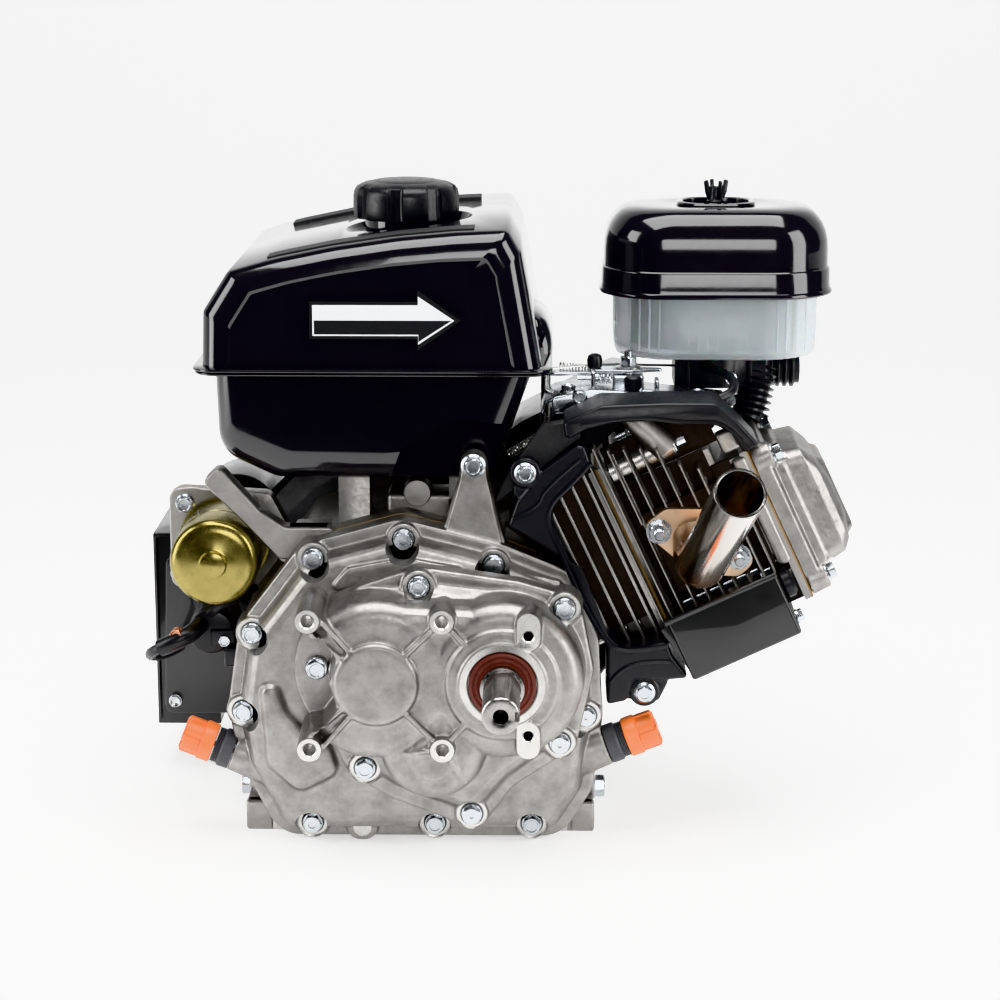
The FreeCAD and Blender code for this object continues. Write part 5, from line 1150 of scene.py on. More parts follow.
SHROUD_FRONT = [(62, 230), (68, 248), (85, 269), (110, 288), (115, 287), (120, 273), (109, 260), (94, 245),
                (93, 233),
                (101, 216), (115, 183), (131, 153), (144, 141), (173, 148), (178, 136), (190, 121),
                (168, 119),
                (151, 120), (145, 104), (131.5, 101), (131.5, 120), (131, 152), (120, 181), (113, 199),
                (90, 213)]
SHROUD_ROOF = [(100, 303), (126, 315), (169, 317), (205, 317), (220, 304), (235, 288), (224, 282),
               (215, 296), (203, 302), (181, 301), (159, 304), (136, 303), (116, 298), (102, 290)]
WINDOW_LIP = [(119, 275), (107, 261), (91, 246), (90, 232), (98, 214), (112, 181), (128, 151), (142, 138),
              (174, 145)]
SHROUD_SEATS = [(74, 268), (158, 111)]


def build_shroud():
    """The moulded air shroud around the barrel, with its window lip, folds and roof."""
    front = rounded(SHROUD_FRONT, 2.4, 3)
    parts = [wedge("shroud_front", front, [(2.0, -81), (1.0, -80.4), (0.2, -79), (0, -77), (0, -36)],
                   "black_plastic")]
    for k, (across, up) in enumerate(SHROUD_SEATS):
        parts.append(lathe(f"shroud_ear_{k}", [(0, 0.2), (9.4, 0.2), (10.6, -1), (10.9, -9), (0, -9)],
                           (across, -81, up), -Y, "black_plastic", 36))
    parts.append(block("shroud_neck", (66, 250, -79), (80, 266, -72), "black_plastic", 2))
    parts.append(wedge("shroud_web", rounded(((140, 106), (168, 104), (176, 121), (150, 124)), 3, 3),
                       [(0.8, -79.6), (0, -78.6), (0, -62)], "black_plastic"))
    body = softened(joined("shroud_body", parts), 0.8, 4, 0.45)
    hollow = wedge("shroud_hollow", shrunk(front, 2.8), [(0, -77), (0, -20)], "black_plastic")
    body = carved(body, hollow)
    lip = tube("shroud_lip", [upright(x, z, -80.6) for x, z in WINDOW_LIP], 2.0, "black_plastic", 12)
    crease = tube("shroud_crease", [upright(x, z, -80.8) for x, z in ((66, 236), (84, 244), (86, 256),
                                                                      (112, 278))], 1.6,
                  "black_plastic", 12)
    lower = tube("shroud_fold", [upright(x, z, -80.8) for x, z in ((134, 118), (140, 128), (160, 134),
                                                                   (176, 133))], 1.8, "black_plastic", 12)
    roof = wedge("shroud_roof", rounded(SHROUD_ROOF, [3, 8, 12, 10, 8, 2, 2, 7, 8, 8, 8, 6, 4, 3], 4),
                 [(1.6, -79), (0.4, -78), (0, -76), (0, -34)], "black_plastic")
    edge = tube("roof_edge", [upright(x, z, -78.6) for x, z in ((112, 301), (138, 306), (160, 306.5),
                                                                (182, 303.5), (204, 304),
                                                                 (217, 298), (227, 284))], 1.5,
                                                                 "black_plastic", 12)
    panel = wedge("shroud_panel", rounded(((52, 245), (60, 262), (86, 300), (106, 303), (113, 292),
                                           (84, 268), (56, 246)), 3, 3),
                  [(1, -73), (0, -72), (0, -62)], "pad_texture")
    back = wedge("shroud_back", rounded(((92, 300), (150, 306), (212, 300), (205, 290), (158, 284),
                                         (140, 292), (118, 270), (100, 262)), 3, 3),
                 [(0, -34), (0, -30)], "black_plastic")
    finished(joined("shroud_shell", [body, lip, crease, lower, roof, edge, panel, back]), "shroud_shell",
             "engine", "cylinder_shroud", angle=40)


def build_side_box():
    """The folded black guide under the head, open on top and at the back."""
    shell = block("guide_shell", (190, -109, -83), (273, -62, -4), "black_sheet", 2.2, on_bore)
    room = block("guide_room", (192, -107, -81), (275, -50, 4), "black_sheet", 1.0, on_bore)
    shell = carved(shell, room)
    inner = plate("guide_inner", rounded(((183.5, -66), (192, -66), (198, -106), (191, -107)), 1.5, 3),
                  -79, -20, on_bore, "black_sheet", 0.6)
    lip = block("guide_lip", (188, -64.5, -84.6), (273.5, -60.5, -81.5), "black_sheet", 1.2, on_bore)
    grommet = lathe("guide_grommet", [(0, 0), (9, 0), (10.5, 2), (10.5, 7), (8, 9), (0, 9)],
                    along_bore(273, -78, -58), BORE, "black_plastic", 32)
    stud = flange_bolt("guide_screw", along_bore(273.2, -101, -66), BORE, 2.4, 5.4, 8, 4, 1.2, 8)
    finished(joined("guide_box", [shell, inner, lip, grommet, stud]), "guide_box", "engine",
             "side_air_guide", angle=35)


def fin(name, along, low, high, front=-72.0, back=-50.0, thick=2.3, material="cast_aluminium"):
    """A cooling fin square to the bore, tapered to a rounded front edge."""
    rings = []
    for depth, half in ((front, 0.35), (front + 0.5, 0.75), (front + 3, 0.95), (back, thick / 2)):
        rings.append([along_bore(along - half, low, depth), along_bore(along + half, low, depth),
                      along_bore(along + half, high, depth), along_bore(along - half, high, depth)])
    return loft(name, rings, material)


def build_head():
    """The finned head: CAD body dressed with full-depth front fins, dark sheets painted in as shade in the fin
    gaps, boss, post and pads.
    """
    dressed = [twin("cylinder_head")]
    gaps = {203.0: (-5, 6), 213.3: (-27, 8), 223.6: (-45, 10), 233.9: (-50, 6), 244.2: (-55, 1),
            254.5: (-57, -13)}
    tops = {203.0: 64, 213.3: 60, 223.6: 56, 233.9: 50, 244.2: 34, 254.5: 26}
    for along, (low, high) in gaps.items():
        dressed.append(fin(f"fin_low_{int(along)}", along, -66, low))
        dressed.append(fin(f"fin_high_{int(along)}", along, high, tops[along]))
    dressed.append(fin("foot_fin", 194.4, -70, 70, -74, -56, 3.0))
    dressed.append(fin("joint_fin", 187.4, -72, 72, -71, -52, 2.0))
    dressed.append(lathe("cast_post", [(0, 0), (6.5, 0), (8.6, 2), (9.6, 14), (10.4, 38), (0, 38)],
                         along_bore(226, 80, -54), along_bore(240, 46, -54) - along_bore(226, 80, -54),
                         "cast_aluminium", 40))
    for depth in (-52, 52):
        dressed.append(block(f"rim_pad_{depth}", (274, 24, depth - 6), (288, 40, depth + 6),
                             "cast_aluminium", 3, on_bore))
    dressed.append(fin("last_fin_0", 264.8, -66, -16))
    dressed.append(fin("last_fin_1", 272.6, -66, -4, -66.0))
    dressed.append(block("tray_step", (277, -66, -57), (287, 18, -51), "cast_aluminium", 3, on_bore))
    # Painted shade: dark sheets set behind the fins and around the exhaust boss stand in for the shade in the
    # gaps.
    dark = [block("core_shade_sheet", (197, -61, -53.2), (262, 34, -51.8), "fin_shadow", 0.2, on_bore),
            block("boss_shade_sheet", (205.5, -51, -65.8), (262.5, 11, -52), "fin_shadow", 0.4, on_bore),
            block("barrel_shade_sheet", (150, -60, -52), (186, 60, -51), "fin_shadow", 0.2, on_bore),
            block("top_shade_sheet", (197, 34, -50), (274, 62, -44), "fin_shadow", 0.4, on_bore),
            block("rim_shade_sheet", (262, -64, -54.6), (276, 20, -51), "fin_shadow", 0.4, on_bore)]
    finished(joined("head_casting", dressed + dark), "head_casting", "engine", "cylinder_head", angle=32)


def build_rocker_cover():
    """Stepped cast cover with drafted walls, broad chamfers and four bolt ears."""
    def ring(low, high, half, radius):
        return rounded(((-half, low), (half, low), (half, high), (-half, high)), radius, 5)

    levels = [(290.4, -96, 20, 55, 12), (299.6, -96, 20, 55, 12), (301.4, -94.6, 18.6, 53.6, 11),
              (302.4, -87, 10, 50.5, 10), (309, -85, 8, 49.5, 10), (311, -81.5, 5.5, 48, 10),
              (324, -79.5, 3, 46.5, 10), (330, -73, -8, 43, 11), (333.4, -62, -19, 36, 12),
              (334.1, -58, -23, 33, 12)]
    rings = [[along_bore(s, point.y, point.x) for point in ring(low, high, half, radius)]
             for s, low, high, half, radius in levels]
    parts = [loft("rocker_body", rings, "cast_aluminium")]
    ears = [(8.5, -46), (8.5, 46), (-86.5, -46), (-86.5, 46)]
    for k, (side, deep) in enumerate(ears):
        parts.append(lathe(f"rocker_ear_{k}", [(0, 15.0), (8.6, 15.0), (9.8, 14), (10.4, 0.6), (0, 0.6)],
                           along_bore(290.2, side, deep), BORE, "cast_aluminium", 36))
    parts.append(block("rocker_panel", (308, -72, -30), (336, -12, 30), "cast_aluminium", 6, on_bore))
    body = softened(joined("rocker_solid", parts), 0.9, 5, 0.5)
    cuts = []
    for k, (side, deep) in enumerate(ears):
        cuts.append(lathe(f"rocker_spot_{k}", [(0, 0), (8.8, 0), (8.8, 9), (0, 9)],
                          along_bore(304.6, side, deep), BORE, "machined_aluminium", 32))
    room = block("rocker_room", (286, -76, -42), (328, -4, 42), "cast_aluminium", 4, on_bore)
    body = carved(body, *cuts, room)
    finished(body, "rocker_casting", "engine", "rocker_cover", angle=38)


def stud_and_nut(name, seat, way, size=10.0, height=7.0, proud=14.0, radius=3.6):
    """A hex nut on the end of its stud."""
    way = Vector(way).normalized()
    washer = lathe(name + "_washer", [(radius, 0), (size * 0.86, 0), (size * 0.86, 1.2), (radius, 1.2)],
                   seat, way, "zinc_steel", 36)
    nut = hex_head(name + "_nut", Vector(seat) + way * 1.2, way, size * 1.25, height, "zinc_steel", False,
                   0.3)
    thread = [(0, -6), (radius, -6)]
    for k in range(int(proud / 0.9)):
        thread += [(radius, k * 0.9), (radius - 0.45, k * 0.9 + 0.45)]
    thread += [(radius - 0.8, proud), (0, proud)]
    return joined(name, [washer, nut, lathe(name + "_stud", thread, seat, way, "zinc_steel", 24)])


def build_side_fasteners():
    """Bolts, nuts and small screws on the barrel and head side."""
    large = []
    for side in (-64, 44):
        for deep in (-44, 44):
            seat = 262 if (side, deep) != (44, -44) else 245
            if (side, deep) == (44, -44):
                large.append(lathe("head_boss", [(0, -48), (10.2, -48), (10.2, -1), (9.4, 0), (0, 0)],
                                   along_bore(245, side, deep), BORE, "machined_aluminium", 40))
            large.append(flange_bolt(f"head_bolt_{side}_{deep}", along_bore(seat, side, deep), BORE, 4.6,
                                     9.8, 13.4, 7.4, 1.9, 60, turn=deep * 0.02))
    for name, at, way in (("left", (-125, -8, 16), -X), ("right", (123, -8, 16), X)):
        large.append(flange_bolt(f"drain_{name}", at, way, 4.6, 10.2, 14, 7.6, 2.0, 18, turn=0.2))
        large.append(lathe(f"drain_washer_{name}", [(4.7, -1.6), (11, -1.6), (11, 0.1), (4.7, 0.1)], at,
                           way, "gold_chromate", 40))
    finished(joined("large_bolt_set", large), "large_bolt_set", "engine", "large_bolts", angle=32)
    small = []
    for k, (side, deep) in enumerate(((8.5, -46), (8.5, 46), (-86.5, -46), (-86.5, 46))):
        small.append(flange_bolt(f"rocker_bolt_{k}", along_bore(304.6, side, deep), BORE, 3.1, 7.6, 10.4,
                                 5.6, 1.5, 14, turn=k * 0.8))
    for k, (across, up) in enumerate(SHROUD_SEATS):
        small.append(flange_bolt(f"shroud_bolt_{k}", (across, -81.2, up), -Y, 3.1, 7.6, 10.2, 4.8, 1.5, 12,
                                 turn=k + 0.5))
    for k, (along, side) in enumerate(((211.8, -2.9), (254.4, -42.9))):
        small.append(stud_and_nut(f"exhaust_stud_{k}", along_bore(along, side, -71.3), -Y, 10.4, 7.4, 16))
    for k, (across, up) in enumerate(((-172.5, 226.5), (-172.5, 173.5))):
        small.append(flange_bolt(f"starter_bolt_{k}", (across, 0, up), -Y, 3.1, 7.4, 10.2, 5.0, 1.5, 10,
                                 turn=k * 0.6))
    finished(joined("small_screw_set", small), "small_screw_set", "engine", "small_screws", angle=32)


def build_exhaust_extras():
    """The pipe's rolled end and the plug lead that passes the head."""
    way = Vector((0.12796, -0.81545, 0.56447))
    end = Vector((211.7, -215, 285.6))
    rim = lathe("pipe_rim", [(15.3, -3), (15.3, -0.4), (15.9, 0.0), (16.5, 0.0), (17.1, -0.6), (17.1, -1.8),
                             (16.9, -3)], end, way, "bright_steel", 64, closed=True)
    finished(rim, "pipe_rim", "engine", angle=40, slot="polished_pipe")
    cap = lathe("plug_boot", [(0, 0), (7.4, 0), (8.2, 1.4), (8.2, 12), (7.2, 13), (7.2, 36), (5.4, 40),
                              (3.6, 42), (0, 42)],
                along_bore(247, 66, -38), along_bore(292, 56, -30) - along_bore(247, 66, -38),
                "black_plastic", 32)
    lead = tube("plug_lead", [along_bore(286, 57, -31), along_bore(296, 55, -27), along_bore(302, 58, -12),
                              along_bore(298, 64, 10), along_bore(284, 72, 34)], 3.3, "black_plastic", 16)
    finished(joined("plug_lead_set", [cap, lead]), "plug_lead_set", "engine", angle=40, slot="black_plastic")


build_shroud()
build_side_box()
build_head()
build_rocker_cover()
build_side_fasteners()
build_exhaust_extras()

# ---------------------------------------------------------------- shaft, seal, fillers

def build_shaft():
    """The output shaft: keyed nose with a centre hole, seen through the seal."""
    whole = twin("output_shaft")
    painted(whole, "shaft_steel")
    finished(bevelled(whole, 0.5, 2, 40), "shaft_line", "output", "output_shaft", angle=30)


def build_seal():
    """A lip seal: outer band, ribbed rubber face and the spring lip round the shaft."""
    seat = (SHAFT_X, GEAR_FACE - 3.6, CRANK_Z)
    ring = lathe("seal_ring", [(22.9, -6), (22.9, 0.2), (21.8, 0.8), (20.4, 0.8), (19.9, 0.1), (19.2, 0.0),
                               (18.6, 0.7), (17.4, 0.9),
                               (16.6, 0.2), (15.6, 0.0), (14.9, 0.9), (13.6, 1.2), (13.05, 0.6),
                               (13.05, -6)], seat, -Y, "seal_rubber", 96, closed=True)
    marks = [rib(f"seal_mark_{k}", (SHAFT_X + 17.2 * math.cos(turn), CRANK_Z + 17.2 * math.sin(turn)),
                 (SHAFT_X + 20.2 * math.cos(turn), CRANK_Z + 20.2 * math.sin(turn)), 0.7, seat[1] - 1.2,
                 seat[1] - 1.2, seat[1]) for k, turn in enumerate([TURN * k / 16 for k in range(16)])]
    for mark in marks:
        painted(mark, "seal_rubber")
    finished(joined("lip_seal", [ring, *marks]), "lip_seal", "engine", "output_seal", angle=35)


def build_fillers():
    """Threaded oil necks with winged orange caps."""
    for name, side, foot_z in (("left", -1, 60.5), ("right", 1, 66.5)):
        way = Vector((side * 0.93, 0, 0.36)).normalized()
        foot = Vector((side * 123.4, -73.5, foot_z))
        cap_at = foot + way * 33.6
        across, up = axes(way)
        profile = [(0, -30), (2, -30), (2, -9.4), (7.6, -9.4), (13.4, -9.4), (14.0, -8.8), (14.2, -1),
                   (13.6, 0), (12.2, 0.6)]
        profile += [(11.8, 11.6), (10.8, 12.4), (0, 12.4)]
        turned = lathe(f"cap_turned_{name}", profile, cap_at, way, "orange_plastic", 48)
        grip = [turned]
        for k in range(2):
            rise = math.pi / 2 * k
            out = across * math.cos(rise) + up * math.sin(rise)
            flat = across * -math.sin(rise) + up * math.cos(rise)
            outline = rounded(((-13.2, 0), (13.2, 0), (13.2, 12.4), (10.4, 13.9), (-10.4, 13.9),
                               (-13.2, 12.4)), 1.2, 3)
            grip.append(plate(f"cap_wing_{name}_{k}", outline, -2.6, 2.6,
                              lambda a, h, d, o=out, f=flat: cap_at + o * a + way * h + f * d,
                              "orange_plastic", 0.7))
        finished(joined(f"cap_{name}", grip), f"dipstick_{name}", f"oil_cap_{name}_body", f"oil_cap_{name}",
                 angle=35)
    necks = []
    for name, side, foot_z in (("left", -1, 60.5), ("right", 1, 66.5)):
        way = Vector((side * 0.93, 0, 0.36)).normalized()
        foot = Vector((side * 123.4, -73.5, foot_z))
        profile = [(8.1, 9.9), (13.4, 9.9), (13.9, 10.6), (13.9, 17.6), (13.2, 18.4)]
        for k in range(3):
            profile += [(12.9, 18.8 + k * 1.5), (12.2, 19.5 + k * 1.5)]
        profile += [(12.9, 23.6), (8.1, 23.6)]
        necks.append(lathe(f"neck_{name}", profile, foot, way, "dark_neck", 48, closed=True))
    finished(joined("neck_pair", necks), "neck_pair", "engine", "oil_necks", angle=35)


# ---------------------------------------------------------------- crankcase

def build_crankcase():
    """Melts the edges of the rear casting and adds its ribs, ledges and foot pockets."""
    whole = bevelled(twin("crankcase"), 1.2, 2, 50)
    extras = []
    for k, (low, high) in enumerate((((-124, 30), (-98, 36)), ((98, 30), (122, 36)))):
        extras.append(block(f"side_ledge_{k}", (low[0], low[1], -58), (high[0], high[1], 60),
                            "cast_aluminium", 2))
    for x in (-120, 118):
        for y in (-40, 0, 40):
            extras.append(block(f"foot_rib_{x}_{y}", (x - 3, 18, y - 2), (x + 6, 46, y + 2),
                                "cast_aluminium", 1))
    for x in (-93, 91):
        for y in (-42, 50):
            extras.append(lathe(f"foot_seat_{x}_{y}", [(4.6, 0), (11, 0), (11, 0.8), (4.6, 0.8)],
                                (x, y, 21.8), Z, "machined_aluminium", 40, closed=True))
    extras.append(wedge("arm_skin", rounded(((-152, 256), (-140, 268), (-112, 236), (-94, 224), (-60, 224),
                                             (-62, 206), (-98, 200), (-128, 232)), [5, 5, 8, 8, 3, 3, 8, 5],
                                             4), [(1.4, -62), (0.3, -61), (0, -59.4), (0, -47)]))
    inner = rounded(((-143, 252), (-140, 257), (-116, 232), (-97, 218), (-97, 207), (-124, 234)), 3, 3)
    extras.append(wedge("arm_web", inner, [(0, -58.6), (0, -58)], "cast_aluminium"))
    for side, low, high in (("left", -107, -88), ("right", 88, 105)):
        view = rounded(((low, 1), (high, 1), (high, 16), ((low + high) / 2 + 4, 27),
                        ((low + high) / 2 - 4, 27), (low, 18)), 1.5, 3)
        extras.append(wedge(f"bright_pad_{side}", view, [(0.4, -63), (0, -62.4), (0, -59)],
                            "machined_aluminium"))
        extras.append(block(f"foot_block_{side}", ((-126 if side == "left" else 107), 0.2, -61.5),
                            ((-107 if side == "left" else 124), 22, -52), "cast_aluminium", 2))
    extras.append(lathe("foot_pocket", [(4.6, -1), (9, 0.6), (10.4, 1.4), (10.9, 0.2), (10.9, -8),
                                        (4.6, -8)], (106, -60, 33), -Y, "cast_aluminium", 40, closed=True))
    extras.append(block("deck_ridge", (-90, 214, -56), (60, 221, -20), "cast_aluminium", 3))
    extras.append(block("breather_box", (-24, 220, -40), (26, 244, -6), "cast_aluminium", 4))
    extras.append(lathe("deck_boss", [(0, 0), (9, 0), (9.8, -2), (9.8, -16), (0, -16)], (-2, -48, 246), -Y,
                        "cast_aluminium", 36))
    finished(joined("crankcase_casting", [whole, *extras]), "crankcase_casting", "engine", "crankcase",
             angle=35)


# ---------------------------------------------------------------- starter side

def build_starter():
    """Gold electric starter: drawn can with rolled end, collar, flange, nose and pinion shaft."""
    profile = [(0, 76.5), (8.2, 76.5), (9.2, 75.9), (9.6, 74.6), (9.8, 73.4), (11, 72.8), (22, 72.6),
               (27.5, 71.4), (30.2, 68.8), (31, 66),
               (31, 40), (30.6, 39.6), (30.6, 38.6), (31, 38.2), (31, -6), (0, -6)]
    can = lathe("starter_can", profile, (-144, 0, 200), -Y, "gold_chromate", 96)
    parts = [can]
    outline = rounded(((-184, 164), (-184, 237), (-168, 239), (-122, 233), (-114, 206), (-128, 174),
                       (-160, 163)), [8, 8, 8, 10, 10, 8, 8], 5)
    parts.append(wedge("starter_flange", outline, [(0.9, -0.8), (0, 0), (0, 7.4)], "cast_aluminium"))
    parts.append(lathe("starter_nose", [(0, 0), (21.6, 0), (21.6, 50), (19, 59), (0, 59)], (-144, 7, 200),
                       Y, "cast_aluminium", 64))
    parts.append(lathe("starter_pinion_shaft", [(0, 0), (5, 0), (5, 13), (4, 14), (0, 14)], (-144, 66, 200),
                       Y, "bright_steel", 32))
    collar = lathe("starter_collar", [(30.9, 0), (32.6, 0), (32.6, 8), (30.9, 8)], (-144, -8, 200), Y,
                   "gold_chromate", 96, closed=True)
    parts.append(collar)
    finished(joined("starter_unit", parts), "starter_unit", "engine", "starter_motor", angle=32)
    can = lathe("solenoid", [(0, 1.8), (14, 1.8), (15.6, 1.0), (16.4, -1), (16.4, -10), (17, -10.6),
                             (17, -45), (0, -45)], (-150, -46, 143.5), -Y, "black_plastic", 64)
    boot = tube("starter_boot", [(-156, -40, 150), (-160, -58, 147), (-172, -66, 142), (-184, -62, 136)],
                6.4, "black_plastic", 20)
    cable = tube("starter_cable", [(-182, -62, 137), (-192, -60, 132), (-196, -30, 120), (-190, 20, 108),
                                   (-186, 72, 100)], 4.0, "black_plastic", 16)
    link = tube("starter_link", [(-150, -50, 158), (-142, -58, 166), (-128, -50, 170), (-120, -30, 172)],
                3.2, "black_plastic", 14)
    copper = [flange_bolt("copper_stud", (-171, -62, 146), (-0.3, -1, 0.1), 3.0, 5.4, 8.4, 4.4, 1.2, 6),
              flange_bolt("coil_stud", (-140, -48, 138), -Y, 2.4, 5.0, 7.6, 3.4, 1.0, 6)]
    painted(copper[0], "copper")
    plug = block("starter_plug", (-140, 120, -56), (-118, 134, -38), "black_plastic", 2)
    spade = block("starter_spade", (-150, 134, -50), (-132, 146, -42), "black_plastic", 1.5)
    finished(joined("solenoid_unit", [can, boot, cable, link, plug, spade, *copper]), "solenoid_unit",
             "engine", "starter_solenoid", angle=35)


def build_control_box():
    """Black sheet box beside the fan cover, with a rolled front flange and fixing screws."""
    whole = bevelled(twin("control_box"), 1.4, 3, 50)
    rim = tube("box_rim", [(-206, 72.5, 40), (-206, 72.5, 182), (-204, 72.5, 185), (-166, 72.5, 185)], 1.6,
               "black_sheet", 12, smooth=False)
    screen = plate("box_screen", rounded(((-200, 50), (-130, 50), (-130, 132), (-196, 178)), [6, 2, 10, 6],
                                         4), 55, 57.5, upright, "black_sheet", 0.8)
    screws = [flange_bolt(f"box_screw_{k}", (x, 55, z), -Y, 2.4, 5.2, 8, 3.6, 1.1, 4) for k, (x, z) in
              enumerate(((-192, 60), (-188, 160)))]
    finished(joined("control_case", [whole, rim, screen, *screws]), "control_case", "engine", "control_box",
             angle=35)


build_shaft()
build_seal()
build_fillers()
build_crankcase()
build_starter()
build_control_box()

# ---------------------------------------------------------------- controls and intake

def sheet_path(name, points, width, thick, across, material, bend=2.0):
    """A folded strip: a centre line bent in one plane and given width across it."""
    path = [Vector(p) for p in points]
    across = Vector(across).normalized()
    rings = []
    for k, point in enumerate(path):
        before = path[max(k - 1, 0)]
        after = path[min(k + 1, len(path) - 1)]
        along = (after - before).normalized()
        normal = along.cross(across).normalized()
        half, rise = across * width / 2, normal * thick / 2
        rings.append([point - half - rise, point + half - rise, point + half + rise, point - half + rise])
    strip = loft(name, rings, material)
    return bevelled(strip, min(thick * 0.3, bend), 2, 30)


def build_controls():
    """Throttle bracket, its folded ears, the friction pivot, springs and the remote clamp."""
    base = sheet_path("bracket_base", [(86, 4, 298), (88, 4, 306), (96, 4, 310), (118, 4, 313),
                                       (150, 4, 311), (188, 4, 307), (216, 4, 304)],
                      56, 2.4, Y, "zinc_steel")
    parts = [base]
    tower = block("control_tower", (136, 308, 0), (158, 321.4, 22), "zinc_steel", 1.6)
    parts.append(tower)
    parts.append(block("tower_ear", (120, 311, -22), (123, 328, -4), "zinc_steel", 1.0))
    parts.append(block("tower_ear_2", (165, 308, -22), (168, 322, -6), "zinc_steel", 1.0))
    parts.append(plate("front_guide", rounded(((92, 296), (92, 309), (120, 316), (156, 314), (156, 309),
                                               (118, 308),
                                               (98, 302), (98, 296)), 2, 4), -27, -24.6, upright,
                                               "zinc_steel", 0.6))
    parts.append(plate("rear_guide", rounded(((150, 308), (214, 302), (222, 306), (220, 313), (196, 312),
                                              (156, 316)), 2, 4), -26, -23.6, upright, "zinc_steel", 0.6))
    parts.append(flange_bolt("bracket_bolt_a", (104, -12, 311.5), Z, 2.6, 6.2, 9, 4.2, 1.2, 6, turn=0.3))
    parts.append(flange_bolt("bracket_bolt_b", (196, -8, 307.5), Z, 2.6, 6.2, 9, 4.2, 1.2, 6, turn=0.7))
    parts.append(flange_bolt("cable_clamp", (112, -27, 311), -Y, 2.2, 5.4, 8, 3.6, 1.1, 4))
    parts.append(flange_bolt("speed_stop", (122.5, -14, 322), X, 2.0, 4.0, 6.4, 3, 1.0, 12))
    parts.append(coil("stop_spring", (124, -14, 322), (134, -14, 322), 3.4, 0.5, 7, "zinc_steel"))
    parts.append(coil("governor_spring", (98, 34, 322), (134, 22, 321), 3.0, 0.5, 16, "bright_steel"))
    parts.append(tube("governor_link", [(92, 20, 323), (120, 28, 325), (168, 40, 322), (200, 60, 318)], 1.0,
                      "bright_steel", 10))
    parts.append(coil("return_spring", (62, -20, 268), (84, -24, 282), 3.0, 0.6, 14, "bright_steel"))
    parts.append(lathe("clamp_knob", [(0, 0), (5, 0), (6.2, 1), (6.2, 8), (5, 9), (0, 9)], (150, -6, 313),
                       Z, "black_plastic", 32))
    finished(joined("speed_control", parts), "speed_control", "engine", "control_bracket", angle=30)

    lever_view = rounded(((119, 6), (123, 3.6), (150, 2), (158, 5), (171, 8.4), (171, 13.6), (158, 17),
                          (150, 20), (123, 18.4), (119, 16)), [4, 4, 7, 7, 2.4, 2.4, 7, 7, 4, 4], 4)
    lever = [plate("lever_blade", lever_view, 322.7, 325.0, lambda a, h, d: Vector((a, h, d)), "zinc_steel",
                   0.5),
             lathe("lever_axle", [(0, 0), (4, 0), (4, 23), (3, 24), (0, 24)], (147, 11, 304), Z,
                   "zinc_steel", 32),
             lathe("lever_spring_washer", [(4.0, 0), (8.4, 0.2), (8.8, 1.2), (4.2, 2.6)], (147, 11, 325), Z,
                   "bright_steel", 32),
             hex_head("lever_nut", (147, 11, 327.4), Z, 11, 6, "zinc_steel", False, 0.2),
             lathe("lever_tip", [(0, 0), (3.0, 0), (3.0, 4), (1.4, 4.6), (0, 4.6)], (147, 11, 333.2), Z,
                   "zinc_steel", 24),
             lathe("lever_grip", [(0, 0), (4.2, 0), (5.2, 1.2), (5.6, 6), (4.6, 9.2), (2.5, 10.4),
                                  (0, 10.6)], (123, 11, 325), Z, "black_plastic", 32)]
    finished(joined("hand_lever", lever), "hand_lever", "control_lever_body", "control_lever", angle=32)

    arm_view = rounded(((84, 18.5), (94, 16), (126, 19), (131, 22), (131, 27), (126, 29), (94, 32),
                        (84, 29.5)), [5, 5, 3, 2, 2, 3, 5, 5], 4)
    arm = [plate("governor_blade", arm_view, 318.1, 320.4, lambda a, h, d: Vector((a, h, d)), "zinc_steel",
                 0.5),
           lathe("governor_axle", [(0, 0), (3.5, 0), (3.5, 70), (2.7, 71), (0, 71)], (88, 24, 252), Z,
                 "bright_steel", 32),
           hex_head("governor_nut", (88, 24, 320.2), Z, 8.4, 3.6, "zinc_steel", False, 0.4)]
    finished(joined("governor_lever", arm), "governor_lever", "governor_body", "governor_arm", angle=32)


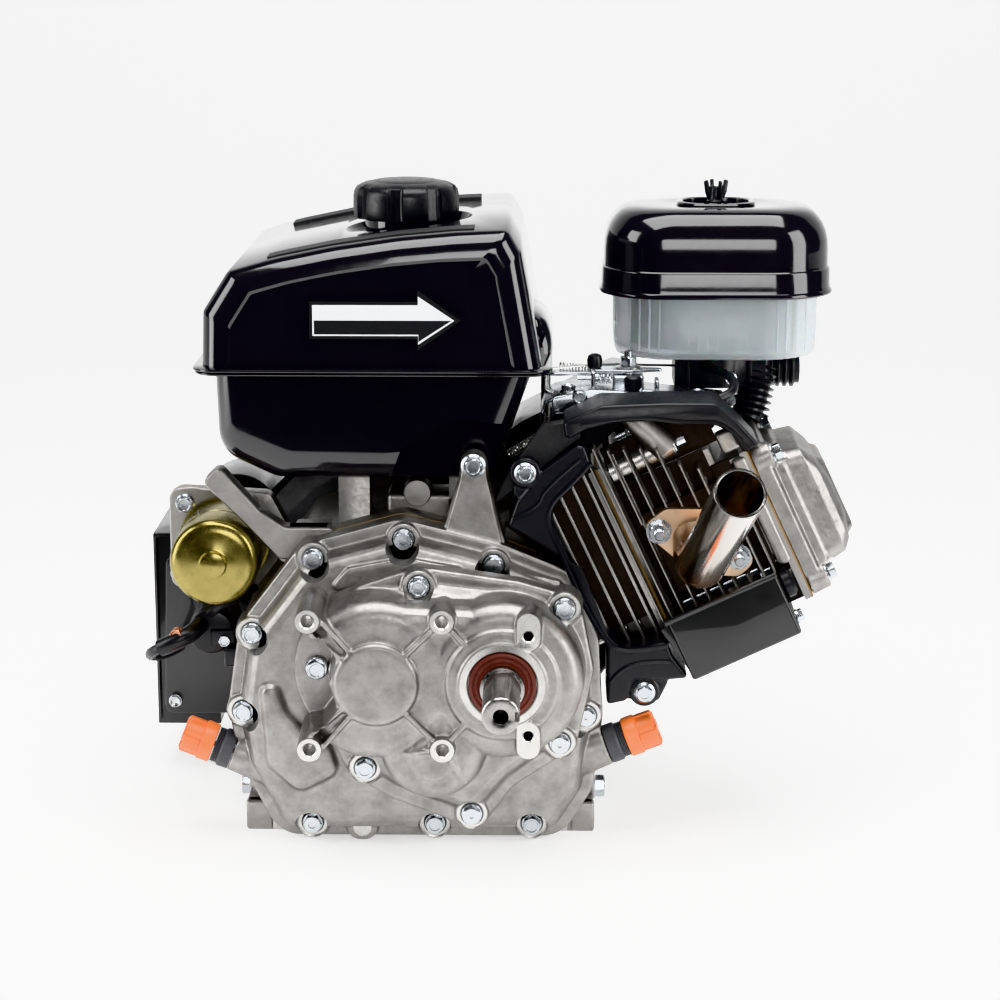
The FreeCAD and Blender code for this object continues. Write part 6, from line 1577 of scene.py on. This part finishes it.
def build_intake():
    """Air cleaner elbow, its corrugated hose, and the carburettor with bowl, choke and screws."""
    whole = bevelled(twin("air_cleaner_elbow"), 1.4, 3, 45)
    parts = [whole]
    for k in range(5):
        parts.append(lathe(f"hose_rib_{k}", [(10.8, 0), (13.4, 0.8), (13.8, 2), (13.4, 3.2), (10.8, 4)],
                           (246 + k * 5.2, 64, 316), X, "black_plastic", 48, closed=True))
    for k in range(4):
        parts.append(block(f"box_rib_{k}", (190 + k * 15, 306, 38.6), (193 + k * 15, 326, 41),
                           "black_plastic", 0.8))
    for k in range(8):
        turn = k / 7
        at = Vector((243, 56, 318)).lerp(Vector((236, 44, 286)), turn)
        parts.append(lathe(f"bellow_{k}", [(11, -1.6), (15.2, -0.6), (15.8, 0), (15.2, 0.6), (11, 1.6)], at,
                           Vector((-0.2, -0.3, -1)), "black_plastic", 40, closed=True))
    parts.append(tube("bellow_core", [(243, 56, 326), (243, 55, 312), (239, 48, 296), (234, 42, 282)], 11.4,
                      "black_plastic", 24))
    parts.append(flange_bolt("elbow_screw", (222, 38.4, 313), -Y, 2.2, 5.4, 8, 3.4, 1.0, 4))
    finished(joined("intake_elbow", parts), "intake_elbow", "engine", "air_cleaner_elbow", angle=35)

    body = softened(twin("carburetor"), 0.9, 4, 0.5)
    port = along_bore(233, -20, 0)
    bowl = lathe("float_bowl", [(0, -0.6), (8, -0.6), (9, 0), (15.4, 1.2), (17.4, 4), (17.6, 22),
                                (18.8, 23), (18.8, 26), (0, 26)],
                 (port.x, 86, port.z - 34.4), Z, "bright_steel", 64)
    screw = hex_head("bowl_screw", (port.x, 86, port.z - 38.6), Z, 9, 4.2, "gold_chromate", False, 0.2)
    idle = lathe("idle_screw", [(0, 0), (2.4, 0), (2.4, 8), (4.2, 8), (4.2, 12), (0, 12)],
                 (port.x - 12, 92, port.z + 16), -X, "gold_chromate", 32)
    finished(joined("carburettor_set", [body, bowl, screw, idle]), "carburettor_set", "engine",
             "carburetor", angle=35)
    choke = bevelled(twin("choke_lever"), 0.7, 2, 40)
    finished(choke, "choke_blade", "choke_body", "choke_lever", angle=35)


# ---------------------------------------------------------------- fan side

def build_fan_side():
    """Pressed blower housing and recoil cover with their beads, slots and fixings."""
    housing = bevelled(twin("fan_cover"), 1.6, 3, 45)
    parts = [housing]
    parts.append(lathe("housing_bead", [(116, 0), (118, 1.4), (120, 1.4), (122, 0), (122, -3), (116, -3)],
                       (CRANK_X, 166, CRANK_Z), Y, "black_sheet", 128, closed=True))
    for k in range(4):
        turn = math.radians(45 + 90 * k)
        at = (CRANK_X + 104 * math.cos(turn), 166.2, CRANK_Z + 104 * math.sin(turn))
        parts.append(flange_bolt(f"housing_bolt_{k}", at, Y, 2.6, 7, 10, 4.6, 1.4, 4, turn=k * 0.4))
    finished(joined("blower_housing", parts), "blower_housing", "engine", "fan_cover", angle=30)
    cover = bevelled(twin("recoil_cover"), 1.2, 3, 45)
    cover = carved(cover, lathe("recoil_dish", [(0, 0), (27, 0), (29, 5.2), (0, 5.2)],
                                (CRANK_X, 199.2, CRANK_Z), Y, "black_sheet", 64))
    ring = lathe("recoil_bead", [(86, -2), (87, 1.2), (89, 1.2), (90, -2)], (CRANK_X, 168, CRANK_Z), Y,
                 "black_sheet", 96, closed=True)
    hub = lathe("recoil_hub", [(0, -2), (24, -2), (24, 0.4), (22, 1.4), (9, 1.6), (8, 0.2), (0, 0.2)],
                (CRANK_X, 199.2, CRANK_Z), Y, "black_sheet", 64)
    screw = flange_bolt("recoil_screw", (CRANK_X, 199.5, CRANK_Z), Y, 2.4, 6, 9, 2.8, 1.0, 4)
    finished(joined("recoil_housing", [cover, ring, hub, screw]), "recoil_housing", "engine",
             "recoil_cover", angle=30)
    grip = softened(twin("recoil_handle"), 0.8, 5, 0.5)
    finished(grip, "pull_grip", "recoil_handle_body", "recoil_handle", angle=40)
    coil_set = bevelled(twin("ignition_coil"), 1.0, 2, 45)
    finished(coil_set, "coil_pack", "engine", "ignition_coil", angle=35)


build_controls()
build_intake()
build_fan_side()

# ---------------------------------------------------------------- floor, light and camera

def paint(name, color, roughness):
    """A matt, even paint for the backdrop."""
    made = Nodes(name, color, roughness)
    made.color(made.ramp(made.noise(260, 3), (0.3, tuple(value * 0.985 for value in color)), (0.7, color)))
    return made.material


def backdrop():
    """A floor that curves up into a wall far behind, as one smooth sheet."""
    radius, deep, wide, tall = 700.0, 2600.0, 6000.0, 4200.0
    profile = [(-820.0, 0.0), (deep - radius, 0.0)]
    for step in range(1, 13):
        turn = math.radians(90 * step / 12)
        profile.append((deep - radius + radius * math.sin(turn), radius - radius * math.cos(turn)))
    profile.append((deep, tall))
    verts = [(side * wide, y, z - 0.05) for y, z in profile for side in (-1, 1)]
    faces = [(2 * k, 2 * k + 1, 2 * k + 3, 2 * k + 2) for k in range(len(profile) - 1)]
    mesh = bpy.data.meshes.new("backdrop")
    mesh.from_pydata([tuple(c * MM for c in v) for v in verts], [], faces)
    mesh.polygons.foreach_set("use_smooth", [True] * len(mesh.polygons))
    sheet = bpy.data.objects.new("backdrop", mesh)
    bpy.context.scene.collection.objects.link(sheet)
    sheet_paint = paint("backdrop_white", (0.93, 0.93, 0.93), 0.9)
    glow = sheet_paint.node_tree.nodes["Principled BSDF"].inputs
    glow["Emission Color"].default_value = (1, 1, 1, 1)
    glow["Emission Strength"].default_value = 0.46
    mesh.materials.append(sheet_paint)


def soft_box(name, at, aim, size, power):
    """A rectangular soft light aimed at a point."""
    light = bpy.data.lights.new(name, "AREA")
    light.shape = "RECTANGLE"
    light.size, light.size_y = (value * MM for value in size)
    light.energy = power
    lamp = bpy.data.objects.new(name, light)
    lamp.location = Vector(at) * MM
    lamp.rotation_euler = (Vector(aim) - Vector(at)).to_track_quat("-Z", "Y").to_euler()
    bpy.context.scene.collection.objects.link(lamp)
    return lamp


def sky_part(tree, direction, span, values):
    """A soft ramp of the studio's brightness along one direction."""
    ramp = tree.nodes.new("ShaderNodeMapRange")
    ramp.interpolation_type = "SMOOTHSTEP"
    ramp.inputs["From Min"].default_value, ramp.inputs["From Max"].default_value = span
    ramp.inputs["To Min"].default_value, ramp.inputs["To Max"].default_value = values
    tree.links.new(direction, ramp.inputs["Value"])
    return ramp.outputs["Result"]


# The world as the viewer sees it, so that the background is pale from every side.
SEEN_BACKGROUND = 18.6
DARKEST_SKY = 0.09


def studio():
    """A light tent: bright above and behind, dim towards the viewer, with four soft boxes."""
    world = bpy.data.worlds.new("studio")
    bpy.context.scene.world = world
    world.use_nodes = True
    tree = world.node_tree
    around = tree.nodes.new("ShaderNodeTexCoord").outputs["Generated"]
    split = tree.nodes.new("ShaderNodeSeparateXYZ")
    tree.links.new(around, split.inputs["Vector"])
    sky = sky_part(tree, split.outputs["Z"], (0.10, 0.75), (0.0, 0.72))
    back = sky_part(tree, split.outputs["Y"], (-0.35, 0.35), (0.0, 0.55))
    total = tree.nodes.new("ShaderNodeMath")
    total.operation = "MAXIMUM"
    tree.links.new(sky, total.inputs[0])
    tree.links.new(back, total.inputs[1])
    lifted = tree.nodes.new("ShaderNodeMath")
    lifted.inputs[1].default_value = DARKEST_SKY
    tree.links.new(total.outputs["Value"], lifted.inputs[0])
    seen = tree.nodes.new("ShaderNodeMath")
    seen.operation = "MAXIMUM"
    tree.links.new(lifted.outputs["Value"], seen.inputs[0])
    plain = tree.nodes.new("ShaderNodeMath")
    plain.operation = "MULTIPLY"
    plain.inputs[1].default_value = SEEN_BACKGROUND
    tree.links.new(tree.nodes.new("ShaderNodeLightPath").outputs["Is Camera Ray"], plain.inputs[0])
    tree.links.new(plain.outputs["Value"], seen.inputs[1])
    tree.links.new(seen.outputs["Value"], tree.nodes["Background"].inputs["Strength"])
    bpy.context.scene.view_settings.view_transform = "Khronos PBR Neutral"
    soft_box("key_top", (100, -300, 1900), (30, 0, 250), (1700, 1300), 42)
    soft_box("left_strip", (-1500, -500, 700), (0, 0, 230), (700, 1600), 20)
    soft_box("right_strip", (1500, -700, 600), (60, 0, 230), (700, 1600), 20)
    soft_box("front_fill", (300, -2400, 900), (50, 0, 200), (1200, 700), 16)


def camera():
    """The view of the reference: a long lens, a little above and almost square to the front."""
    distance, pitch, yaw = 1855.0, math.radians(13.2), math.radians(1.0)
    target = Vector((55.3, 0, 230))
    ahead = Vector((-math.sin(yaw) * math.cos(pitch), math.cos(yaw) * math.cos(pitch), -math.sin(pitch)))
    lens = bpy.data.cameras.new("camera")
    lens.sensor_width = 36
    lens.lens = 36 * 2.570
    lens.clip_end = 60
    eye = bpy.data.objects.new("camera", lens)
    eye.location = (target - ahead * distance) * MM
    eye.rotation_euler = ahead.to_track_quat("-Z", "Y").to_euler()
    bpy.context.scene.collection.objects.link(eye)
    bpy.context.scene.camera = eye


backdrop()
studio()
camera()
